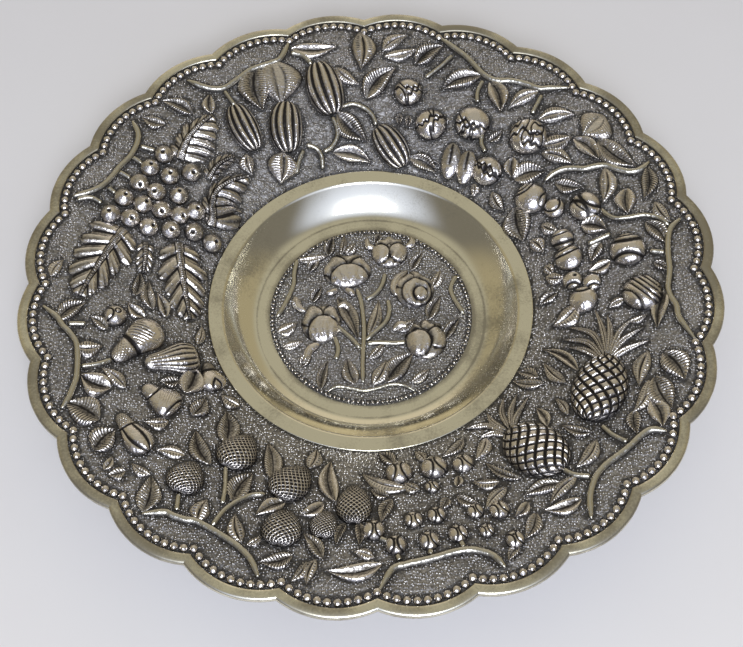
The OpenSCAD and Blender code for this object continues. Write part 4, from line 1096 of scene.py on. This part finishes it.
def straight_groove(t, across, start, end, width):
    """A groove on the unrolled skin, from the distance to a line between two places."""
    along, aside = t - start[0], across - start[1]
    run = np.subtract(end, start)
    share = np.clip((along * run[0] + aside * run[1]) / (run**2).sum(), 0, 1)
    return hump(np.hypot(along - share * run[0], aside - share * run[1]), width)


PEARS = [
    [-149, 72, -139.4, 70.5, 18], [-153.6, 50, -145, 40, 21], [-156.6, 8, -146.6, 10.5, 17],
    [-162, 61, -169.6, 31.5, 24], [-159.6, 44, -159.4, 12, 24],
]
PIPS = [[-173, 56.8, 13]]
PIP_CUTS = [[(0, 0.8, 0.6, 0.12), (0.2, -0.2, 0.25, 0.08)]]
PEAR_GROOVES = [
    [((0.36, -0.24), (0.98, -0.12), 0.05), ((0.36, 0.14), (0.98, 0.1), 0.05),
     ((0.33, -0.5), (0.36, 0.5), 0.03)],
    [((0.3, -0.5), (0.36, 0.0), 0.03), ((0.36, 0.0), (0.3, 0.5), 0.03), ((0.84, -0.4), (0.93, 0.3), 0.03)],
    [((0.32, -0.5), (0.32, 0.5), 0.06), ((0.7, 0.0), (1.0, -0.2), 0.04), ((0.7, 0.0), (1.0, 0.2), 0.04)],
    [((0.36, -0.5), (0.42, 0.5), 0.05)], [((0.95, -0.3), (0.95, 0.3), 0.04)],
]


def pear_marks(t, across):
    """Per fruit its grooves and a field of fine work: crossed on the neck, slanting, or ribbed; two necks
    painted dark as a reflection.
    """
    t, across = np.broadcast_arrays(t[0], across[0])
    crossed = np.abs(np.sin(np.pi * (13 * t + 9 * across)) * np.sin(np.pi * (13 * t - 9 * across)))
    slanting, neck = wave(17 * t + 7 * across), 1 - ramp(t, 0.25, 0.38)
    patch = between(t, 0.48, 0.72, 0.1) * between(across, -0.1, 0.25, 0.1)
    ribbed = wave(9 * across) * between(t, 0.15, 0.85, 0.1)
    # The plain dark necks of the second and third pears are a painted reflection, and also sink them a
    # little.
    fields = [0.7 * crossed * neck, 0.35 * slanting * patch + 0.3 * neck, 0.5 * neck,
              0.6 * crossed * neck + 0.7 * slanting * patch, 0.75 * ribbed]
    return np.stack([deepest(field, *(straight_groove(t, across, *groove) for groove in grooves))
                     for grooves, field in zip(PEAR_GROOVES, fields)])


pears = long_fruit(PEARS, pear_outline, pear_marks, 0.3, 0.6, steps=130, across=90, wider=1.05)
pips = round_fruit(grown(PIPS), arcs(PIP_CUTS), rise=0.42, cut=0.5)
add_piece("pears", "relief_silver", *join([pears, pips]))

# %% [markdown]
# ## The medallion's spray
# A stem rises from a wavy ground line and branches to five blossoms. Stems and leaves are the same
# forms as on the border, laid flat. A blossom's petals could be meshes of their own, but in beaten
# metal they are one skin. So a blossom is a dome with lapped petals: each petal hides what lies behind
# it and leaves a sunk step beside it, painted dark as shade. Soft ribs run down the head, its top edge is
# wavy, and small petals stand beside it. The stems' and leaves' numbers are in percent of the medallion's
# radius. A blossom's row holds its x, y, half width, half length and height in millimetres, and its
# waves. A fold is a petal's circle on the head's unit circle, and how softly the step beside it fades.


# %% Medallion stems and leaves
def lay_on_medallion(lines, side, height):
    """Points beside lines of x and y in millimetres, on the flat medallion."""
    run = np.gradient(lines, axis=1)
    run /= np.linalg.norm(run, axis=-1, keepdims=True)
    left = np.stack([-run[..., 1], run[..., 0]], -1)
    spot = lines[:, :, None] + left[:, :, None] * side[..., None]
    return np.concatenate([spot, (Z_MEDALLION + height)[..., None]], -1)


SPRAY = MEDALLION_R / 100
SPRAY_STEMS = [
    [[-9, -77], [-9, -58], [-8, -38], [-7, -18], [-8, 2], [-10, 17], [-14, 30]],
    [[-5.5, -30], [6, -19], [15, -9], [18.6, 4], [17, 16]], [[-4.5, 16], [5, 22], [12, 33], [15.5, 47]],
    [[-11, -39], [-20, -27], [-32, -15], [-38, -11]], [[-4.5, -34], [6, -33], [22, -34], [34, -33]],
    [[-36, -25], [-32.5, -39], [-35, -51]], [[-73, 66], [-76, 49], [-77, 34], [-85, 13], [-93, -2]],
    [[87, 42], [80.5, 28], [83, 15], [92, -3]],
]
GROUND_LINE = [[-43, -85], [-33, -80], [-19, -82.5], [-8, -85], [4, -83], [18, -79], [30, -80.5], [41, -87]]
stems = wires(lay_on_medallion, [np.array(path) * SPRAY for path in SPRAY_STEMS], width=2.8, height=1.5)
line = wires(lay_on_medallion, [np.array(GROUND_LINE) * SPRAY], width=1.7, height=1.2)
add_piece("medallion_stems", "branch_silver", *join([stems, line]))

SPRAY_LEAVES = [
    [[-31, 15], [-15, -24], 12], [[-2, -21], [7, 12], 10], [[-17, -75], [-23, -53], 12],
    [[2, -76], [13, -55], 12], [[16, -73], [38, -48], 16], [[-1, -49], [11, -35], 8],
    [[-60, 52], [-51, 66], 8], [[-70, 65], [-44, 69], 7], [[-57, 16], [-49, 31], 8],
    [[-75, 20], [-68, 5], 8], [[43, 51], [53, 68], 8], [[63, 30], [70, 47], 9], [[58, -6], [69, 16], 10],
    [[27, -19], [42, -9], 9], [[73, -29], [86, -10], 8], [[-90, -18], [-74, -10], 11],
    [[-67, -56], [-59, -43], 8], [[-23, 71], [-15, 82], 8], [[-41, 71], [-37, 89], 9],
    [[-29, 71], [-26, 91], 6], [[10, 93], [6, 83], 6], [[39, -76], [54, -64], 8],
    [[-49, -80], [-43, -55], 8], [[-85, -35], [-68, -30], 7],
]
flat = np.array([[*start, *end, width] for start, end, width in SPRAY_LEAVES]) * SPRAY
lines, width = straight_lines(flat, np.linspace(0, 1, 48), LEAF_OVER)
length = np.linalg.norm(lines[:, -1] - lines[:, 0], axis=-1)[:, None, None]
style = np.arange(len(SPRAY_LEAVES))[:, None, None] % 2
add_piece("medallion_leaves", "relief_silver",
          *leaf_mesh(lay_on_medallion, lines, LEAF_WIDTH * width / 2, length, LEAF_H, style,
                     nick=1.2, bend=0.06, across=16))

# %% Medallion blossoms
BLOSSOMS = [
    [-11.8, 26, 12.5, 10.2, 4.0, -6], [10.5, 37, 9.5, 9.1, 3.8, 9], [22.8, 13.5, 10.1, 10.6, 4.2, 5],
    [27.5, -16, 10.4, 10.9, 4.2, 9], [-25.2, -5, 10.2, 11.2, 4.2, -5],
]
FOLDS = [
    [(0.7, 0.2, 0.55, 0.14), (-0.6, 0.25, 0.6, 0.14), (0.1, -0.5, 0.8, 0.16)],
    [(0, 0.3, 0.1, 0.25), (0.6, -0.1, 0.62, 0.14), (-0.6, -0.15, 0.62, 0.14)],
    [(-0.5, 0.5, 0.5, 0.12), (0.1, -0.2, 0.75, 0.16), (0.3, -0.3, 0.36, 0.14)],
    [(0.1, 0.75, 0.35, 0.12), (0.6, 0.05, 0.55, 0.14), (-0.4, -0.2, 0.66, 0.16)],
    [(0.6, 0.4, 0.5, 0.12), (-0.5, 0.35, 0.6, 0.14), (0.15, -0.5, 0.8, 0.16)],
]
PETALS = [
    [(-13, 15), (-10, 13), (-8.5, 10.5), 4, 2.0], [(-17, 15), (-20, 13), (-23, 12.5), 4, 2.0],
    [(3, 40), (-0.5, 41), (-1, 46), 4, 2.0], [(19, 40), (22.5, 42), (22, 46.5), 4, 2.0],
    [(13.5, 10), (12, 15), (14.5, 21), (20, 25), 4.5, 2.4], [(18.5, -8), (15, -7), (11, -10.5), 5, 2.0],
    [(-17, 4), (-13.5, 5.5), (-11.5, 3), 4, 2.2], [(-33, 2), (-37, 5), (-38.5, 11), 4, 2.0],
    [(-26, -17), (-31, -20), (-34, -28), 5, 2.0],
]


def laps(heads):
    """Per head, petals from back to front: inside each it hides the rest, beside it lies a sunk step painted
    dark as shade.
    """
    def cover(under, off, soft):
        return np.where(off < 0, hump(off, 0.05), np.maximum(under, np.exp(-off / soft)))

    def head(x, y, row):
        return reduce(lambda under, p: cover(under, np.hypot(x - p[0], y - p[1]) - p[2], p[3]), row, 0 * x)

    def marks(x, y):
        return 0.75 * np.stack([head(x[i], y[i], row) for i, row in enumerate(heads)])
    return marks


def blossoms(rows, folds, cut, rings=40, spokes=96):
    """Domed heads at x and y, with half widths and a height, a wavy top edge, folds and soft ribs."""
    x, y = unit_disc(rings, spokes, SKIRT)
    across, up, wide, tall, high, tips = (np.array(rows, float)[:, k][:, None] for k in range(6))
    soft_ribs = 0.11 * (1 + np.sin(21 * np.arctan2(x, y + 1.7) + 2 * np.sin(3.5 * y + 0.4 * across)))
    height, depth = dome_form(x, y, folds(x + 0 * high, y + 0 * high) + soft_ribs, high, cut)
    turned = np.arctan2(y, x) - np.pi / 2
    edge = np.sign(tips) * np.cos(tips * turned) * np.clip(np.cos(turned), 0, 1) * np.hypot(x, y)
    wavy = 1 + 0.1 * edge
    points = np.stack([across + wide * wavy * x, up + tall * wavy * y, Z_MEDALLION + height], -1)
    return points.reshape(-1, 3), round_faces(len(rows), rings, spokes), depth.ravel()


def petals(rows, steps=44, across=18):
    """Domed petals along smooth curves: a path, then a width and a height in millimetres."""
    parts, t = [], np.linspace(0, 1, steps)
    x = np.linspace(-1.15, 1.15, across + 1)[None, None]
    outline = oval(0.9, 0.55)(t)[None, :, None]
    dome = np.clip(1 - x**2, 0, 1) ** 0.55 * outline**0.7
    fold = hump(np.abs(x) - 0.38, 0.1) * ramp(t, 0.35, 0.8)[None, :, None]
    depth = deepest(ramp(np.abs(x), 0.9, 1.04), SHADE * (1 - dome), 0.7 * fold)
    for *path, width, height in rows:
        rise = height * (dome - 0.12 * fold) - SINK * ramp(np.abs(x), 1.0, 1.12)
        parts.append(long_motif(lay_on_medallion, curve(path, t)[None], width / 2 * outline * x, rise, depth))
    return join(parts)


add_piece("medallion_blossoms", "relief_silver",
          *join([blossoms(BLOSSOMS, laps(FOLDS), cut=1.5), petals(PETALS)]))

# %% [markdown]
# ## The matted ground
# On the real plate a tracing punch leaves a dark line round each motif, and the ground beside a motif
# lies in its shade. An Ambient Occlusion node could find such places, but only while rendering, and with
# grain. Here they are worked out once: the sheet comes last, and every point of the motifs that stands
# above the ground marks a cell of the sheet's own grid. Averaging neighbouring cells then spreads the
# marks, and leaves a soft dark line, partly oxide in the traced line and partly painted shade.

# %% Dark outlines round the motifs: oxide and painted shade
STANDS_OUT = 0.15


def outlines(rows, columns, shape, spread):
    """Marks the grid cells that hold a motif's point, then averages neighbours to spread the marks."""
    marks = np.zeros(shape)
    inside = (columns >= 0) & (columns < shape[1] - 0.5)
    marks[np.round(rows[inside]).astype(int) % shape[0], np.round(columns[inside]).astype(int)] = 1
    for axis, steps in enumerate(spread):
        for _ in range(steps):
            marks = (np.roll(marks, 1, axis) + 2 * marks + np.roll(marks, -1, axis)) / 4
    return np.clip(2.0 * marks, 0, 1)


raised = np.concatenate(laid)
raised_r, raised_a = np.hypot(raised[:, 0], raised[:, 1]), np.arctan2(raised[:, 1], raised[:, 0])
print("points to outline:", len(raised))

# %% [markdown]
# The border sheet runs from the lip to the binding. A Solidify modifier could give it its thickness,
# but it would tilt the edges, so the underside is rows of points straight below the top. The sheet is
# also darker in the groove along the beads and at its foot beside the lip.


# %% Border sheet
def border_shell(around=600, rows=120, under=16):
    """Points at a share of the way from the lip to the scalloped edge, on the top and then below."""
    a = np.linspace(0, 2 * np.pi, around, endpoint=False)[:, None]
    edge = rim_radius(a, BINDING_EDGE)
    r = LIP_R + np.linspace(0, 1, rows)[None] * (edge - LIP_R)
    back = LIP_R + np.linspace(1, 0, under)[None] * (edge - LIP_R)
    high = (raised[:, 2] > ground_z(raised_r) + STANDS_OUT) & (raised_r > LIP_R)
    turned, reach = raised_a[high] / (2 * np.pi) * around, rim_radius(raised_a[high], BINDING_EDGE) - LIP_R
    halo = outlines(turned, (raised_r[high] - LIP_R) / reach * (rows - 1), (around, rows), (1, 2))
    groove, foot = hump(edge + BINDING_EDGE - r - BEAD_INSET, 2.1), hump(r - LIP_R, 1.2)
    # The halo darkens the ground round each motif: partly oxide in the traced line, partly painted shade.
    depth = deepest(0.4 * groove, 0.3 * foot, 0.42 * halo)
    ring, depth = np.concatenate([r, back], 1), np.concatenate([depth, 0 * back], 1)
    z = np.concatenate([ground_z(r), ground_z(back) - SHEET], 1)
    return np.stack([ring * np.cos(a), ring * np.sin(a), z], -1), depth


points, depth = border_shell()
add_piece("border_sheet", "matted_ground", points, turned_faces(*depth.shape), depth)

# %% [markdown]
# The medallion's disc could be a plain cylinder, but the outlines need rings and spokes to be marked
# on, so it is turned like the well. It has the same matted ground as the border, but starts brighter.
# Its edge is rounded, and dark below the ring of dots.

# %% Medallion disc
SPOKES, TOP_ROWS, BRIGHTER_BY, EDGE_ROUND = 240, 60, 0.16, 0.4


def medallion_profile():
    """A flat top with a rounded edge, down to the floor and back under it."""
    top = level(2, MEDALLION_R - 2 * EDGE_ROUND, Z_MEDALLION, TOP_ROWS)
    edge = arc((MEDALLION_R - EDGE_ROUND, Z_MEDALLION - EDGE_ROUND), EDGE_ROUND, 90, 0, 5)
    return np.concatenate([top, edge, [[MEDALLION_R, Z_FLOOR], [MEDALLION_R - 4, Z_FLOOR]]])


profile = medallion_profile()
high = (raised[:, 2] > Z_MEDALLION + STANDS_OUT) & (raised_r < MEDALLION_R)
place = np.interp(raised_r[high], profile[:TOP_ROWS, 0], np.arange(TOP_ROWS))
# The halo round the spray is partly oxide in the traced line and partly painted shade.
halo = outlines(raised_a[high] / (2 * np.pi) * SPOKES, place, (SPOKES, len(profile)), (2, 2))
rim = 0.3 * ramp(profile[:, 0], MEDALLION_R - 3.2, MEDALLION_R - 2.2)[None]
add_piece("medallion_disc", "matted_ground", *capped(profile, SPOKES, Z_MEDALLION, Z_FLOOR),
          np.append(np.maximum(0.12 * halo - BRIGHTER_BY, rim), [-BRIGHTER_BY, 0]))

# %% [markdown]
# ## Table, light and camera
# The plate lies on a pale, faintly mottled table. One large soft lamp stands above and behind the
# viewer, like a window, so that the slopes that face the viewer shine, as the well's far side does in
# the photograph. The flat polished places mirror the room, so its tones matter: a warm wall, brighter
# overhead and along the far horizon, softer on both sides, and cool and bright round the window. A
# panorama picture could give that, but a few tones laid by direction are enough and easy to set. A tone
# has a direction, the cosines at which it starts and is full, and a colour.

# %% Table
TABLE_HALF, TABLE_Z = 3, -0.0002
table = bpy.data.materials.new("pale table")
table.use_nodes = True
tree = table.node_tree
shader = tree.nodes["Principled BSDF"]
cloud = noise(tree, put(tree, "TexCoord").outputs["Object"], 14.0, 6.0)
paint = blend(tree, cloud, (0.765, 0.74, 0.735, 1), (0.80, 0.78, 0.775, 1))
tree.links.new(paint, shader.inputs["Base Color"])
shader.inputs["Roughness"].default_value = 0.6
mesh = bpy.data.meshes.new("table")
corners = [(i * TABLE_HALF, j * TABLE_HALF, TABLE_Z) for i, j in ((-1, -1), (1, -1), (1, 1), (-1, 1))]
mesh.from_pydata(corners, [], [(0, 1, 2, 3)])
mesh.materials.append(table)
floor = bpy.data.objects.new("table", mesh)
bpy.context.scene.collection.objects.link(floor)
floor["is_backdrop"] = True
print("table:", 2 * TABLE_HALF, "m square")

# %% Window
WINDOW_SIZE, WINDOW_FAR, WINDOW_POWER, DAYLIGHT = 0.65, 1.6, 15.5, (0.92, 0.96, 1.0)
lamp = bpy.data.lights.new("window", "AREA")
lamp.shape, lamp.size, lamp.energy, lamp.color = "SQUARE", WINDOW_SIZE, WINDOW_POWER, DAYLIGHT
window = bpy.data.objects.new("window", lamp)
toward = Vector((0.04, -0.62, 0.78)).normalized()
window.location = WINDOW_FAR * toward
window.rotation_mode = "QUATERNION"
window.rotation_quaternion = toward.to_track_quat("Z", "Y")
bpy.context.scene.collection.objects.link(window)
print("window at", list(window.location))

# %% Room
WALL = (0.19, 0.18, 0.162, 1)
ROOM_TONES = [
    ("overhead", (0, 0.55, 0.835), 0.5, 0.93, (0.44, 0.42, 0.35, 1)),
    ("horizon", (0, 0.97, 0.24), 0.8, 0.97, (0.66, 0.60, 0.49, 1)),
    ("right", (0.76, 0.5, 0.42), 0.75, 0.98, (0.40, 0.355, 0.25, 1)),
    ("left", (-0.76, 0.5, 0.42), 0.75, 0.98, (0.40, 0.355, 0.25, 1)),
    ("window", (0.03, -0.72, 0.69), 0.68, 1.0, (0.92, 1.02, 1.36, 1)),
]
room = bpy.data.worlds.new("room")
bpy.context.scene.world = room
room.use_nodes = True
tree = room.node_tree
way = put(tree, "TexCoord").outputs["Generated"]
tone = WALL
for _, centre, low, high, color in ROOM_TONES:
    near = put(tree, "VectorMath", {0: way, 1: centre}, operation="DOT_PRODUCT").outputs["Value"]
    tone = blend(tree, smooth(tree, near, low, high), tone, color)
tree.links.new(tone, tree.nodes["Background"].inputs["Color"])
print("room tones:", [name for name, *_ in ROOM_TONES])

# %% [markdown]
# The camera could be placed by eye. This one was fitted to the rim and the well's circles in the
# photograph, so that the lobes fall where they do there.

# %% Camera at the photograph's view
TARGET = np.array([0.26, -27.42, Z_RIM]) * MM
ELEVATION, DISTANCE, ROLL = 1.05241, 0.59126, -0.02369
FOCAL, PHOTO_W, SENSOR = 1250, 743, 36.0
back = np.array([0, -np.cos(ELEVATION), np.sin(ELEVATION)])
right, up = np.array([1.0, 0, 0]), np.cross(back, [1.0, 0, 0])
c, s = np.cos(ROLL), np.sin(ROLL)
lens = bpy.data.cameras.new("camera")
lens.sensor_fit, lens.sensor_width, lens.lens = "HORIZONTAL", SENSOR, FOCAL / PHOTO_W * SENSOR
lens.clip_start = 0.01
camera = bpy.data.objects.new("camera", lens)
bpy.context.scene.collection.objects.link(camera)
matrix = np.eye(4)
matrix[:3, 0], matrix[:3, 1], matrix[:3, 2] = c * right + s * up, c * up - s * right, back
matrix[:3, 3] = TARGET + DISTANCE * back
camera.matrix_world = matrix.T.tolist()
bpy.context.scene.camera = camera
bpy.context.scene.view_settings.view_transform = "Standard"
print("camera at", list(camera.location))

# %% Sizes and finish
low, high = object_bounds()
print("visual box", list(low), list(high))
